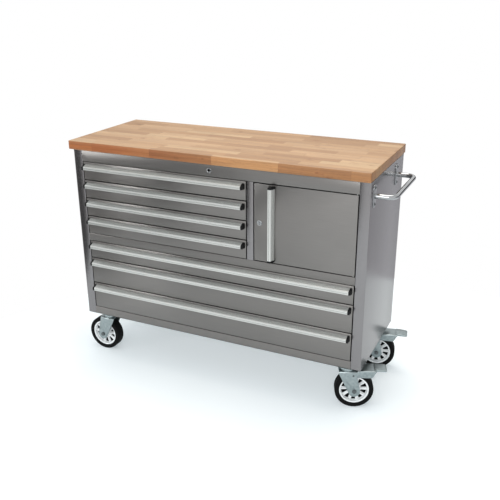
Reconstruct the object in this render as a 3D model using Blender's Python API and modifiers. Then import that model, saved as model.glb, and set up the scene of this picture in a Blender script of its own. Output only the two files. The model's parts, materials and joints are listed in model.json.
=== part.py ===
"""Rolling stainless-steel workbench: a butcher-block top on a cabinet with four small drawers,
a cupboard, three wide drawers, a push handle and four swivel casters, two of them with brakes.

Metres, +Z up, the floor at z = 0, +X to the push handle, -Y to the drawers. The origin is on the
floor, under the middle of the box that holds the whole bench.
"""

import math

import bmesh
import bpy
from mathutils import Matrix, Vector

# ---- worktop and cabinet ----
WORKTOP_WIDTH = 1.219
WORKTOP_DEPTH = 0.476
WORKTOP_THICK = 0.034
WORKTOP_EDGE = 0.003
OVERHANG_LEFT = 0.015
OVERHANG_RIGHT = 0.0005
OVERHANG_FRONT = 0.010
OVERHANG_BACK = 0.019
CABINET_HEIGHT = 0.710
SHEET = 0.0012
BASE_SHEET = 0.002
TOUCH = 0.0003
REVEAL = 0.003

# ---- front frame ----
POST_WIDTH = 0.038
POST_RETURN = 0.020
BACK_RETURN = 0.015
TOP_RAIL = 0.046
MIDDLE_RAIL = 0.032
BOTTOM_RAIL = 0.033
RAIL_RETURN = 0.020
UPPER_OPENING = 0.299
SMALL_BANK_WIDTH = 0.713
DIVIDER_WIDTH = 0.0265
DIVIDER_RETURN = 0.010

# ---- drawers and their runners ----
SMALL_DRAWERS = 4
SLIM_DRAWER = 0.075
DEEP_DRAWERS = 2
FRONT_RETURN = 0.014
RUNNER_SPACE = 0.0135
TRAY_LIFT = 0.004
TRAY_HEADROOM = 0.012
TRAY_REAR_SPACE = 0.030
RAIL_HEIGHT = 0.016
RAIL_THICK = 0.0085
CHANNEL_LIP = 0.0085
CHANNEL_SHEET = 0.0015
CHANNEL_SET_BACK = 0.002
RUNNER_CLEARANCE = 0.0008
RUNNER_LIFT = 0.004
RAIL_REAR_SPACE = 0.002
CHANNEL_REAR_SPACE = 0.005
UPRIGHT_FLANGE = 0.025
UPRIGHT_INSET = 0.075
DRAWER_TRAVEL = 0.340

# ---- pulls ----
PULL_DEPTH = 0.021
PULL_HEIGHT = 0.022
PULL_WALL = 0.002
PULL_SLOPE = 0.008
PULL_LIP_END = 0.020
PULL_DROP = 0.008
PULL_SIDE_GAP = 0.005
PULL_LEDGE = 0.004
PULL_WEB_DROP = 0.0015
CAP_THICK = 0.008
CAP_PROUD = 0.0002
CAP_WALL = 0.007
CAP_NOTCH = 0.006
CAP_CORNER = 0.003
DOOR_PULL_INSET = 0.059

# ---- door and locks ----
HINGE_INSET = 0.006
HINGE_PIN_RADIUS = 0.003
HINGE_PIN_HEAD = 0.0043
HINGE_HEAD_THICK = 0.002
HINGE_PIN_REACH = 0.008
LOCK_RADIUS = 0.009
LOCK_FLANGE = 0.0105
LOCK_FLANGE_THICK = 0.0018
LOCK_DEPTH = 0.0195
PLUG_RADIUS = 0.006
CAM_LENGTH = 0.034
CAM_WIDTH = 0.012
CAM_THICK = 0.002
CAM_GAP = 0.002
DOOR_LOCK_INSET = 0.022
TOP_LOCK_DROP = 0.023

# ---- push handle ----
HANDLE_RADIUS = 0.0095
HANDLE_REACH = 0.070
HANDLE_BEND = 0.034
HANDLE_FRONT = 0.042
HANDLE_BACK = 0.104
HANDLE_DROP = 0.056
FLANGE_LENGTH = 0.082
FLANGE_WIDTH = 0.034
FLANGE_THICK = 0.003
FLANGE_SCREW_SPACING = 0.058
FLANGE_SCREW_RADIUS = 0.0055
FLANGE_SCREW_HEAD = 0.003

# ---- casters ----
CASTER_INSET_SIDE = 0.067
CASTER_INSET_ENDS = 0.060
WHEEL_RADIUS = 0.0735
WHEEL_WIDTH = 0.042
TRAIL = 0.028
RIM_RADIUS = 0.0565
RIM_LIP = 0.006
RIM_WIDTH = 0.035
RIM_WEB = 0.010
HUB_RADIUS = 0.021
HUB_WIDTH = 0.046
SPOKES = 10
SPOKE_WINDOW_INNER = 0.026
SPOKE_WINDOW_OUTER = 0.0465
SPOKE_WINDOW_SHARE = 0.62
SPOKE_WINDOW_TAPER = 0.7
TYRE_SHOULDER = 0.004
TYRE_BEAD = 0.004
AXLE_RADIUS = 0.006
AXLE_HEAD_RADIUS = 0.010
AXLE_HEAD_THICK = 0.006
RUNNING_GAP = 0.0003
FORK_SHEET = 0.003
FORK_SIDE_GAP = 0.002
FORK_TOP_HALF = 0.033
FORK_FOOT_RADIUS = 0.022
TYRE_HEADROOM = 0.006
SWIVEL_HEAD = 0.037
RACE_RADIUS = 0.030
RACE_HEIGHT = 0.013
RACE_STEP = 0.003
PLATE_LENGTH = 0.100
PLATE_WIDTH = 0.085
PLATE_THICK = 0.003
KINGPIN_RADIUS = 0.006
KINGPIN_HEAD = 0.009
KINGPIN_HEAD_THICK = 0.002
SWIVEL_TURNS = {
    "front_left": 180.0,
    "front_right": 22.0,
    "back_left": 150.0,
    "back_right": 12.0,
}

# ---- brake pedals ----
PEDAL_REACH = 0.147
PEDAL_THICK = 0.0025
PEDAL_START = 0.038
PEDAL_RISE = 0.004
PEDAL_PIVOT_X = 0.022
PEDAL_PIVOT_DROP = 0.012
PEDAL_PIVOT_RADIUS = 0.004
PEDAL_EAR_RADIUS = 0.008
PEDAL_SKIRT_END = 0.090
PAD_LENGTH = 0.042
PAD_WIDTH = 0.050
PAD_THICK = 0.008
PAD_OVERLAP = 0.004
SHOE_AHEAD = 0.033
SHOE_LENGTH = 0.020
PEDAL_PRESS = 10.0

# ---- places worked out from the sizes ----
CASTER_HEIGHT = 2 * WHEEL_RADIUS + TYRE_HEADROOM + SWIVEL_HEAD
CABINET_WIDTH = WORKTOP_WIDTH - OVERHANG_LEFT - OVERHANG_RIGHT
CABINET_DEPTH = WORKTOP_DEPTH - OVERHANG_FRONT - OVERHANG_BACK
PULL_PROUD = TOUCH + PULL_DEPTH + 2 * CAP_PROUD
LEFT_STICKOUT = max(0.0, WHEEL_RADIUS + TRAIL - CASTER_INSET_SIDE - OVERHANG_LEFT)
PEDAL_TURN = math.radians(min(SWIVEL_TURNS["front_right"], SWIVEL_TURNS["back_right"]))
PEDAL_STICKOUT = PEDAL_REACH * math.cos(PEDAL_TURN) + PAD_WIDTH / 2 * math.sin(PEDAL_TURN) - CASTER_INSET_SIDE
RIGHT_STICKOUT = max(HANDLE_REACH + HANDLE_RADIUS, PEDAL_STICKOUT) - OVERHANG_RIGHT
FRONT_STICKOUT = PULL_PROUD - OVERHANG_FRONT
BENCH_WIDTH = LEFT_STICKOUT + WORKTOP_WIDTH + RIGHT_STICKOUT
BENCH_DEPTH = FRONT_STICKOUT + WORKTOP_DEPTH

CABINET_LEFT = -BENCH_WIDTH / 2 + LEFT_STICKOUT + OVERHANG_LEFT
CABINET_RIGHT = CABINET_LEFT + CABINET_WIDTH
CABINET_FRONT = -BENCH_DEPTH / 2 + PULL_PROUD
CABINET_BACK = CABINET_FRONT + CABINET_DEPTH
CABINET_BOTTOM = CASTER_HEIGHT
CABINET_TOP = CABINET_BOTTOM + CABINET_HEIGHT
SIDE_BOTTOM = CABINET_BOTTOM + BASE_SHEET + TOUCH

OPENING_LEFT = CABINET_LEFT + POST_WIDTH
OPENING_RIGHT = CABINET_RIGHT - POST_WIDTH
DIVIDER_LEFT = OPENING_LEFT + SMALL_BANK_WIDTH
DIVIDER_RIGHT = DIVIDER_LEFT + DIVIDER_WIDTH
DIVIDER_PANEL = (DIVIDER_LEFT + DIVIDER_RIGHT) / 2
UPPER_TOP = CABINET_TOP - TOP_RAIL
UPPER_BOTTOM = UPPER_TOP - UPPER_OPENING
LOWER_TOP = UPPER_BOTTOM - MIDDLE_RAIL
LOWER_BOTTOM = CABINET_BOTTOM + BOTTOM_RAIL
BACK_PANEL_INSIDE = CABINET_BACK - 2 * SHEET - TOUCH
CASTER_TOP = CABINET_BOTTOM - TOUCH

TRAY_DEPTH = CABINET_DEPTH - TRAY_REAR_SPACE
CHANNEL_START = max(POST_RETURN, FRONT_RETURN) + CHANNEL_SET_BACK
CHANNEL_END = TRAY_DEPTH - CHANNEL_REAR_SPACE
BITE = 0.0004
CUT_REACH = 3 * SHEET
PIN_SIDES = 10
LOCK_SIDES = 14
SCREW_SIDES = 8
AXLE_SIDES = 12
RACE_SIDES = 20
RIM_SIDES = 20
TYRE_SIDES = 32

collection = None
cutters = None


# ---- helpers ----
def bore_radius(pin_radius, sides):
    """Corner radius of a many-sided hole whose flats stand a running gap off a round pin."""
    return (pin_radius + RUNNING_GAP) / math.cos(math.pi / sides)


def start_scene():
    """Empties the scene and makes the two collections."""
    global collection, cutters
    for thing in list(bpy.data.objects):
        bpy.data.objects.remove(thing)
    collection = bpy.data.collections.new("rolling_workbench")
    cutters = bpy.data.collections.new("cutters")
    cutters.hide_render = True
    bpy.context.scene.collection.children.link(collection)
    bpy.context.scene.collection.children.link(cutters)


def material(name, colour, roughness, metallic):
    made = bpy.data.materials.new(name)
    made.use_nodes = True
    shader = made.node_tree.nodes["Principled BSDF"]
    shader.inputs["Base Color"].default_value = (*colour, 1.0)
    shader.inputs["Roughness"].default_value = roughness
    shader.inputs["Metallic"].default_value = metallic
    return made


def add(name, data, finish=None, parent=None, at=(0, 0, 0), turn=(0, 0, 0)):
    """Puts a mesh in the scene as a part or, with no finish, as a helper for a Boolean."""
    thing = bpy.data.objects.new(name, data)
    thing.location = at
    thing.rotation_euler = turn
    thing.parent = parent
    if finish is None:
        cutters.objects.link(thing)
        thing.hide_render = True
        thing.display_type = "WIRE"
    else:
        collection.objects.link(thing)
        if not data.materials:
            data.materials.append(finish)
    return thing


def empty(name, at, turn=0.0, parent=None):
    holder = bpy.data.objects.new(name, None)
    holder.location = at
    holder.rotation_euler = (0, 0, turn)
    holder.parent = parent
    collection.objects.link(holder)
    return holder


def box(name, low, high, finish=None, **place):
    """A box between two corners, in its object's own coordinates."""
    low, high = Vector(low), Vector(high)
    mesh = bpy.data.meshes.new(name)
    shape = bmesh.new()
    bmesh.ops.create_cube(shape, size=1.0)
    bmesh.ops.scale(shape, vec=high - low, verts=shape.verts)
    bmesh.ops.translate(shape, vec=(low + high) / 2, verts=shape.verts)
    shape.to_mesh(mesh)
    shape.free()
    return add(name, mesh, finish, **place)


def open_box(name, low, high, missing, wall, finish=None, **place):
    """A pan of sheet: a box without the side that faces `missing`, its walls inside the corners."""
    pan = box(name, low, high, finish, **place)
    shape = bmesh.new()
    shape.from_mesh(pan.data)
    shape.normal_update()
    away = [face for face in shape.faces if face.normal.dot(Vector(missing)) > 0.5]
    bmesh.ops.delete(shape, geom=away, context="FACES")
    shape.to_mesh(pan.data)
    shape.free()
    thicken(pan, wall, -1.0)
    return pan


def thicken(thing, wall, side):
    solidify = thing.modifiers.new("wall", "SOLIDIFY")
    solidify.thickness = wall
    solidify.offset = side
    solidify.use_even_offset = True


def cylinder(name, radius, low, high, axis="Z", sides=24, centre=(0, 0, 0), finish=None, **place):
    """A cylinder from low to high along an axis through centre."""
    turn = {"X": Matrix.Rotation(math.pi / 2, 3, "Y"), "Y": Matrix.Rotation(-math.pi / 2, 3, "X")}
    mesh = bpy.data.meshes.new(name)
    shape = bmesh.new()
    size = {"radius1": radius, "radius2": radius, "depth": high - low}
    bmesh.ops.create_cone(shape, cap_ends=True, segments=sides, **size)
    bmesh.ops.translate(shape, vec=(0, 0, (low + high) / 2), verts=shape.verts)
    if axis in turn:
        bmesh.ops.rotate(shape, matrix=turn[axis], verts=shape.verts)
    bmesh.ops.translate(shape, vec=centre, verts=shape.verts)
    shape.to_mesh(mesh)
    shape.free()
    return add(name, mesh, finish, **place)


def folded(name, path, along, start, end, side, finish=None, wall=SHEET, **place):
    """Sheet folded along a line of points and running from start to end along an axis.

    The points are the two coordinates across that axis, in X, Y, Z order. They lie on one skin,
    and side says to which side of it the wall goes.
    """
    lane = "XYZ".index(along)
    mesh = bpy.data.meshes.new(name)
    shape = bmesh.new()
    corners = []
    for point in path:
        spot = list(point)
        spot.insert(lane, start)
        corners.append(shape.verts.new(spot))
    edges = [shape.edges.new(pair) for pair in zip(corners, corners[1:])]
    made = bmesh.ops.extrude_edge_only(shape, edges=edges)
    moved = [item for item in made["geom"] if isinstance(item, bmesh.types.BMVert)]
    step = Vector((0, 0, 0))
    step[lane] = end - start
    bmesh.ops.translate(shape, vec=step, verts=moved)
    shape.to_mesh(mesh)
    shape.free()
    sheet = add(name, mesh, finish, **place)
    thicken(sheet, wall, side)
    return sheet


def welded(thing):
    """The mesh that the object has with its modifiers, as new data with its doubles merged."""
    graph = bpy.context.evaluated_depsgraph_get()
    mesh = bpy.data.meshes.new_from_object(thing.evaluated_get(graph))
    shape = bmesh.new()
    shape.from_mesh(mesh)
    bmesh.ops.remove_doubles(shape, verts=shape.verts, dist=0.00001)
    shape.to_mesh(mesh)
    shape.free()
    return mesh


def flat_shape(name, outlines, low, high, along, finish=None, **place):
    """Closed outlines, filled and extruded from low to high along an axis.

    An outline's points are the two coordinates across that axis, in X, Y, Z order.
    """
    turn = {
        "Z": Matrix.Identity(4),
        "Y": Matrix.Rotation(math.pi / 2, 4, "X"),
        "X": Matrix(((0, 0, 1, 0), (1, 0, 0, 0), (0, 1, 0, 0), (0, 0, 0, 1))),
    }
    curve = bpy.data.curves.new(name, "CURVE")
    curve.dimensions = "2D"
    curve.fill_mode = "BOTH"
    curve.extrude = (high - low) / 2
    for points in outlines:
        spline = curve.splines.new("POLY")
        spline.points.add(len(points) - 1)
        spline.use_cyclic_u = True
        for target, point in zip(spline.points, points):
            target.co = (*point, 0, 1)
    guide = bpy.data.objects.new(name + "_curve", curve)
    cutters.objects.link(guide)
    bpy.context.view_layer.update()
    mesh = welded(guide)
    bpy.data.objects.remove(guide)
    mesh.transform(turn[along])
    step = Vector((0, 0, 0))
    step["XYZ".index(along)] = (low + high) / 2
    mesh.transform(Matrix.Translation(step))
    mesh.name = name
    return add(name, mesh, finish, **place)


def turned(name, profile, steps, finish=None, **place):
    """A closed section turned about the Y axis: points are (radius, y), down the outer side first."""
    mesh = bpy.data.meshes.new(name)
    shape = bmesh.new()
    corners = [shape.verts.new((radius, 0, height)) for radius, height in profile]
    for pair in zip(corners, corners[1:] + corners[:1]):
        shape.edges.new(pair)
    shape.to_mesh(mesh)
    shape.free()
    thing = add(name, mesh, finish, **place)
    screw = thing.modifiers.new("turn", "SCREW")
    screw.steps = steps
    screw.render_steps = steps
    screw.use_merge_vertices = True
    screw.merge_threshold = 0.00001
    return thing


def combine(thing, other, operation):
    step = thing.modifiers.new(other.name, "BOOLEAN")
    step.operation = operation
    step.object = other
    step.solver = "EXACT"


def join(thing, *others):
    for other in others:
        combine(thing, other, "UNION")


def cut(thing, *others):
    for other in others:
        combine(thing, other, "DIFFERENCE")


def finished(thing, smooth=True):
    """The mesh of a helper with its modifiers, ready to be shared by the copies of a piece."""
    bpy.context.view_layer.update()
    mesh = welded(thing)
    if smooth:
        mesh.shade_smooth()
        mesh.set_sharp_from_angle(angle=math.radians(35))
    mesh.materials.clear()
    mesh.name = thing.name
    return mesh


def tangent_angle(centre, radius, point):
    """The angles on a circle where lines from the point touch it, smaller first."""
    across = Vector(point) - Vector(centre)
    middle = math.atan2(across.y, across.x)
    half = math.acos(radius / across.length)
    return middle - half, middle + half


def arc(centre, radius, first, last, count):
    """Points on a circle between two angles."""
    for index in range(count + 1):
        angle = first + (last - first) * index / count
        yield centre[0] + radius * math.cos(angle), centre[1] + radius * math.sin(angle)


# ---- materials ----
def make_materials():
    return {
        "wood": material("oiled_butcher_block", (0.62, 0.42, 0.26), 0.45, 0.0),
        "steel": material("brushed_stainless_steel", (0.25, 0.25, 0.25), 0.35, 1.0),
        "zinc": material("zinc_plated_steel", (0.38, 0.42, 0.43), 0.35, 1.0),
        "aluminium": material("satin_aluminium", (0.65, 0.66, 0.65), 0.3, 1.0),
        "chrome": material("polished_chrome", (0.70, 0.70, 0.70), 0.1, 1.0),
        "rubber": material("black_rubber", (0.01, 0.01, 0.01), 0.7, 0.0),
        "wheel_metal": material("cast_wheel_alloy", (0.60, 0.61, 0.62), 0.3, 1.0),
    }


# ---- cabinet ----
def make_worktop(finish):
    low = (CABINET_LEFT - OVERHANG_LEFT, CABINET_FRONT - OVERHANG_FRONT, CABINET_TOP)
    high = (CABINET_RIGHT + OVERHANG_RIGHT, CABINET_BACK + OVERHANG_BACK, CABINET_TOP + WORKTOP_THICK)
    top = box("worktop", low, high, finish)
    edge = top.modifiers.new("rounded edges", "BEVEL")
    edge.width = WORKTOP_EDGE
    edge.segments = 2


def make_sides(finish):
    """Each side is one sheet: inner return, front post face, side wall and rear return."""
    for name, wall_x, opening_x, inward in (
        ("left_side", CABINET_LEFT, OPENING_LEFT, 1),
        ("right_side", CABINET_RIGHT, OPENING_RIGHT, -1),
    ):
        path = [
            (opening_x, CABINET_FRONT + POST_RETURN),
            (opening_x, CABINET_FRONT),
            (wall_x, CABINET_FRONT),
            (wall_x, CABINET_BACK),
            (wall_x + inward * BACK_RETURN, CABINET_BACK),
        ]
        folded(name, path, "Z", SIDE_BOTTOM, CABINET_TOP - TOUCH, -inward, finish)


def make_back_panel(finish):
    path = [
        (BACK_PANEL_INSIDE - RAIL_RETURN, CABINET_TOP - TOUCH),
        (BACK_PANEL_INSIDE + SHEET, CABINET_TOP - TOUCH),
        (BACK_PANEL_INSIDE + SHEET, SIDE_BOTTOM),
    ]
    margin = SHEET + TOUCH
    folded("back_panel", path, "X", CABINET_LEFT + margin, CABINET_RIGHT - margin, -1, finish)


def make_base_pan(finish):
    """The floor of the cabinet with the bottom rail standing on its front edge."""
    low = (CABINET_LEFT, CABINET_FRONT, CABINET_BOTTOM)
    high = (CABINET_RIGHT, CABINET_BACK, CABINET_BOTTOM + BASE_SHEET)
    pan = box("base_pan", low, high, finish)
    rail_path = [
        (CABINET_FRONT + RAIL_RETURN, LOWER_BOTTOM),
        (CABINET_FRONT, LOWER_BOTTOM),
        (CABINET_FRONT, CABINET_BOTTOM + BASE_SHEET - BITE),
    ]
    rail = folded("bottom_rail", rail_path, "X", OPENING_LEFT + TOUCH, OPENING_RIGHT - TOUCH, 1)
    join(pan, rail)


def hinge_x():
    return OPENING_RIGHT - REVEAL - HINGE_INSET


def make_rails(finish):
    """Top and middle rails: channels between the posts, with a hole each for the door's pins."""
    front, deep = CABINET_FRONT, CABINET_FRONT + RAIL_RETURN
    for name, top, bottom, hole_z in (
        ("top_rail", CABINET_TOP - TOUCH, UPPER_TOP, UPPER_TOP),
        ("middle_rail", UPPER_BOTTOM, LOWER_TOP, UPPER_BOTTOM),
    ):
        path = [(deep, top), (front, top), (front, bottom), (deep, bottom)]
        rail = folded(name, path, "X", OPENING_LEFT + TOUCH, OPENING_RIGHT - TOUCH, 1, finish)
        spot = (hinge_x(), CABINET_FRONT + HINGE_INSET, hole_z)
        hole_radius = bore_radius(HINGE_PIN_RADIUS, PIN_SIDES)
        hole = cylinder(name + "_pin_hole", hole_radius, -CUT_REACH, CUT_REACH, sides=PIN_SIDES, centre=spot)
        cut(rail, hole)
        if name == "top_rail":
            cut(rail, lock_hole("top_lock_hole", top_lock_place()))


def make_divider(finish):
    """The post between drawers and cupboard, and behind it the wall that carries the runners."""
    front = CABINET_FRONT
    path = [
        (DIVIDER_RIGHT, front + DIVIDER_RETURN),
        (DIVIDER_RIGHT, front),
        (DIVIDER_LEFT, front),
        (DIVIDER_LEFT, front + DIVIDER_RETURN),
        (DIVIDER_PANEL, front + DIVIDER_RETURN),
        (DIVIDER_PANEL, BACK_PANEL_INSIDE - TOUCH),
    ]
    folded("centre_divider", path, "Z", UPPER_BOTTOM + TOUCH, UPPER_TOP - TOUCH, -1, finish)


def make_cupboard_floor(finish):
    """A tray-shaped shelf behind the middle rail, from the divider to the right side."""
    left = DIVIDER_PANEL + SHEET + TOUCH
    right = CABINET_RIGHT - SHEET - TOUCH
    front = CABINET_FRONT + POST_RETURN + TOUCH
    path = [
        (front, UPPER_BOTTOM - RAIL_RETURN),
        (front, UPPER_BOTTOM),
        (BACK_PANEL_INSIDE - TOUCH, UPPER_BOTTOM),
    ]
    folded("cupboard_floor", path, "X", left, right, -1, finish)


# ---- drawers ----
def drawer_rows():
    """Name, sides of the opening, and top and bottom of each drawer's share of it."""
    small_pitch = UPPER_OPENING / SMALL_DRAWERS
    for index in range(SMALL_DRAWERS):
        top = UPPER_TOP - index * small_pitch
        yield f"small_drawer_{index + 1}", OPENING_LEFT, DIVIDER_LEFT, top, top - small_pitch
    yield "wide_drawer_1", OPENING_LEFT, OPENING_RIGHT, LOWER_TOP, LOWER_TOP - SLIM_DRAWER
    deep_pitch = (LOWER_TOP - SLIM_DRAWER - LOWER_BOTTOM) / DEEP_DRAWERS
    for index in range(DEEP_DRAWERS):
        top = LOWER_TOP - SLIM_DRAWER - index * deep_pitch
        yield f"wide_drawer_{index + 2}", OPENING_LEFT, OPENING_RIGHT, top, top - deep_pitch


def runner_height(bottom):
    """Height of a runner's middle above the floor, from the bottom of its drawer's share."""
    return bottom + REVEAL + TRAY_LIFT + RUNNER_LIFT + RAIL_HEIGHT / 2


def make_drawer(name, left, right, top, bottom, finish):
    """Front and tray are one folded and welded sheet piece, with a runner rail on each side."""
    half = (right - left) / 2
    front_half = half - REVEAL
    front_low = bottom + REVEAL / 2
    front_high = top - REVEAL / 2
    tray_half = half - RUNNER_SPACE
    tray_low = front_low + TRAY_LIFT
    tray_high = front_high - TRAY_HEADROOM
    holder = empty(name + "_slide", ((left + right) / 2, CABINET_FRONT, (front_low + front_high) / 2))
    middle = holder.location.z
    drawer = open_box(
        name,
        (-front_half, 0, front_low - middle),
        (front_half, FRONT_RETURN, front_high - middle),
        (0, 1, 0),
        SHEET,
        finish,
        parent=holder,
    )
    tray = open_box(
        name + "_tray",
        (-tray_half, BITE, tray_low - middle),
        (tray_half, TRAY_DEPTH, tray_high - middle),
        (0, 0, 1),
        SHEET,
        parent=holder,
    )
    join(drawer, tray)
    rail_middle = runner_height(bottom) - middle
    for side in (-1, 1):
        inner, outer = side * (tray_half - BITE), side * (tray_half + RAIL_THICK)
        rail = box(
            f"{name}_rail_{side + 1}",
            (min(inner, outer), CHANNEL_START, rail_middle - RAIL_HEIGHT / 2),
            (max(inner, outer), TRAY_DEPTH - RAIL_REAR_SPACE, rail_middle + RAIL_HEIGHT / 2),
            parent=holder,
        )
        join(drawer, rail)
    return holder, front_half, front_high - middle


def pull_outline():
    """The hooked section, as (out from the front, down from its top edge)."""
    return [
        (0.0, 0.0),
        (PULL_LEDGE, 0.0),
        (PULL_DEPTH, PULL_SLOPE),
        (PULL_DEPTH, PULL_LIP_END),
        (PULL_DEPTH - PULL_WALL, PULL_LIP_END),
        (PULL_DEPTH - PULL_WALL, PULL_SLOPE + PULL_WEB_DROP),
        (PULL_WALL, PULL_WALL + PULL_WEB_DROP),
        (PULL_WALL, PULL_HEIGHT),
        (0.0, PULL_HEIGHT),
    ]


def cap_outline():
    """The end cap: the same outside, filled, with a notch where the fingers go in."""
    proud = CAP_PROUD
    lip_inside = PULL_DEPTH - CAP_WALL
    notch_top = PULL_LIP_END - CAP_NOTCH
    return [
        (-proud, -proud),
        (PULL_LEDGE, -proud),
        (PULL_DEPTH + proud, PULL_SLOPE),
        (PULL_DEPTH + proud, PULL_LIP_END + proud),
        (lip_inside, PULL_LIP_END + proud),
        (lip_inside - CAP_CORNER, notch_top),
        (CAP_WALL, notch_top),
        (CAP_WALL, PULL_HEIGHT + proud),
        (-proud, PULL_HEIGHT + proud),
    ]


def make_pull(name, half_length, finish, parent, at, upright=False):
    """An extruded pull with its two end caps. It hooks downwards, or towards -X when upright."""
    along = "Z" if upright else "X"

    def placed(outline):
        if upright:
            return [(-down, -out) for out, down in outline]
        return [(-out, -down) for out, down in outline]

    place = {"parent": parent, "at": at}
    pull = flat_shape(name, [placed(pull_outline())], -half_length, half_length, along, finish, **place)
    for side in (-1, 1):
        ends = sorted((side * (half_length - CAP_THICK), side * (half_length + CAP_PROUD)))
        cap = flat_shape(f"{name}_cap_{side + 1}", [placed(cap_outline())], *ends, along, **place)
        join(pull, cap)


def make_drawers(steel, aluminium):
    for name, left, right, top, bottom in drawer_rows():
        holder, front_half, front_top = make_drawer(name, left, right, top, bottom, steel)
        pull_half = front_half - PULL_SIDE_GAP
        at = (0, -TOUCH - CAP_PROUD, front_top - PULL_DROP)
        make_pull(name.replace("drawer", "pull"), pull_half, aluminium, holder, at)


def make_rack(name, wall_x, opening_x, inward, rows, bottom, top, finish):
    """Two Z-shaped uprights with one runner channel for each drawer, welded together."""
    face = opening_x - inward * CHANNEL_SHEET
    uprights = []
    rear_start = CABINET_FRONT + CHANNEL_END - UPRIGHT_INSET
    for end, start in (("front", CABINET_FRONT + UPRIGHT_INSET), ("rear", rear_start)):
        path = [
            (wall_x + inward * TOUCH, start + UPRIGHT_FLANGE),
            (wall_x + inward * TOUCH, start),
            (face, start),
            (face, start - UPRIGHT_FLANGE),
        ]
        shown = finish if end == "front" else None
        label = name if end == "front" else name + "_rear_upright"
        uprights.append(folded(label, path, "Z", bottom + TOUCH, top - TOUCH, inward, shown, CHANNEL_SHEET))
    rack = uprights[0]
    for index, (_, _, _, _, row_bottom) in enumerate(rows):
        middle = runner_height(row_bottom)
        half = RAIL_HEIGHT / 2 + RUNNER_CLEARANCE
        back = opening_x - inward * BITE
        lip = opening_x + inward * CHANNEL_LIP
        path = [(lip, middle + half), (back, middle + half), (back, middle - half), (lip, middle - half)]
        channel = folded(
            f"{name}_channel_{index + 1}",
            path,
            "Y",
            CABINET_FRONT + CHANNEL_START,
            CABINET_FRONT + CHANNEL_END,
            inward,
            wall=CHANNEL_SHEET,
        )
        join(rack, channel)
    join(rack, uprights[1])


def make_racks(finish):
    rows = list(drawer_rows())
    small, wide = rows[:SMALL_DRAWERS], rows[SMALL_DRAWERS:]
    left_wall = CABINET_LEFT + SHEET
    right_wall = CABINET_RIGHT - SHEET
    make_rack("small_rack_left", left_wall, OPENING_LEFT, 1, small, UPPER_BOTTOM, UPPER_TOP, finish)
    make_rack("small_rack_right", DIVIDER_PANEL, DIVIDER_LEFT, -1, small, UPPER_BOTTOM, UPPER_TOP, finish)
    make_rack("wide_rack_left", left_wall, OPENING_LEFT, 1, wide, LOWER_BOTTOM, LOWER_TOP, finish)
    make_rack("wide_rack_right", right_wall, OPENING_RIGHT, -1, wide, LOWER_BOTTOM, LOWER_TOP, finish)


# ---- door and locks ----
def top_lock_place():
    return ((CABINET_LEFT + CABINET_RIGHT) / 2, CABINET_FRONT, CABINET_TOP - TOP_LOCK_DROP)


def door_lock_place():
    door_middle = (UPPER_TOP + UPPER_BOTTOM) / 2
    return (DIVIDER_RIGHT + REVEAL + DOOR_LOCK_INSET, CABINET_FRONT, door_middle)


def lock_hole(name, at, parent=None):
    """The cutter for a lock's hole in a front sheet."""
    return cylinder(name, LOCK_RADIUS + TOUCH, -CUT_REACH, CUT_REACH, "Y", LOCK_SIDES, parent=parent, at=at)


def make_lock(name, parent, at, chrome, zinc):
    """A flanged barrel held in the sheet, and in it a plug that turns a cam behind it."""
    ring_out = LOCK_FLANGE_THICK + TOUCH
    place = {"parent": parent, "at": at}
    body = (LOCK_RADIUS, -TOUCH - BITE, LOCK_DEPTH, "Y", LOCK_SIDES)
    barrel = cylinder(name + "_barrel", *body, finish=chrome, **place)
    join(barrel, cylinder(name + "_ring", LOCK_FLANGE, -ring_out, -TOUCH, "Y", LOCK_SIDES, **place))
    hole_radius = bore_radius(PLUG_RADIUS, LOCK_SIDES)
    cut(barrel, cylinder(name + "_bore", hole_radius, -LOCK_DEPTH, 2 * LOCK_DEPTH, "Y", LOCK_SIDES, **place))
    holder = empty(name + "_turn", at, parent=parent)
    tail = LOCK_DEPTH + CAM_GAP
    plug = cylinder(
        name + "_plug", PLUG_RADIUS, -ring_out, tail + CAM_THICK, "Y", LOCK_SIDES, finish=zinc, parent=holder
    )
    cam = box(
        name + "_cam",
        (-CAM_WIDTH / 2, tail, -CAM_LENGTH),
        (CAM_WIDTH / 2, tail + CAM_THICK - BITE, CAM_WIDTH / 2),
        parent=holder,
    )
    join(plug, cam)


def make_door(steel, aluminium, chrome, zinc):
    """A pan-shaped door that turns on two pins near its right edge."""
    left, right = DIVIDER_RIGHT + REVEAL, OPENING_RIGHT - REVEAL
    low, high = UPPER_BOTTOM + REVEAL, UPPER_TOP - REVEAL
    pivot = Vector((hinge_x(), CABINET_FRONT + HINGE_INSET, (low + high) / 2))
    holder = empty("door_hinge", pivot)
    half = (high - low) / 2
    door = open_box(
        "door_panel",
        (left - pivot.x, -HINGE_INSET, -half),
        (right - pivot.x, FRONT_RETURN - HINGE_INSET, half),
        (0, 1, 0),
        SHEET,
        steel,
        parent=holder,
    )
    for end in (-1, 1):
        low_end, high_end = end * half - CUT_REACH, end * half + CUT_REACH
        name = f"door_pin_hole_{end + 1}"
        hole_radius = bore_radius(HINGE_PIN_RADIUS, PIN_SIDES)
        cut(door, cylinder(name, hole_radius, low_end, high_end, sides=PIN_SIDES, parent=holder))
    lock_at = Vector(door_lock_place()) - pivot
    cut(door, lock_hole("door_lock_hole", lock_at, holder))
    make_lock("door_lock", holder, lock_at, chrome, zinc)
    pull_at = (left + DOOR_PULL_INSET + PULL_HEIGHT - pivot.x, -HINGE_INSET - TOUCH - CAP_PROUD, 0)
    make_pull("door_pull", half - PULL_SIDE_GAP, aluminium, holder, pull_at, upright=True)


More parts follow.
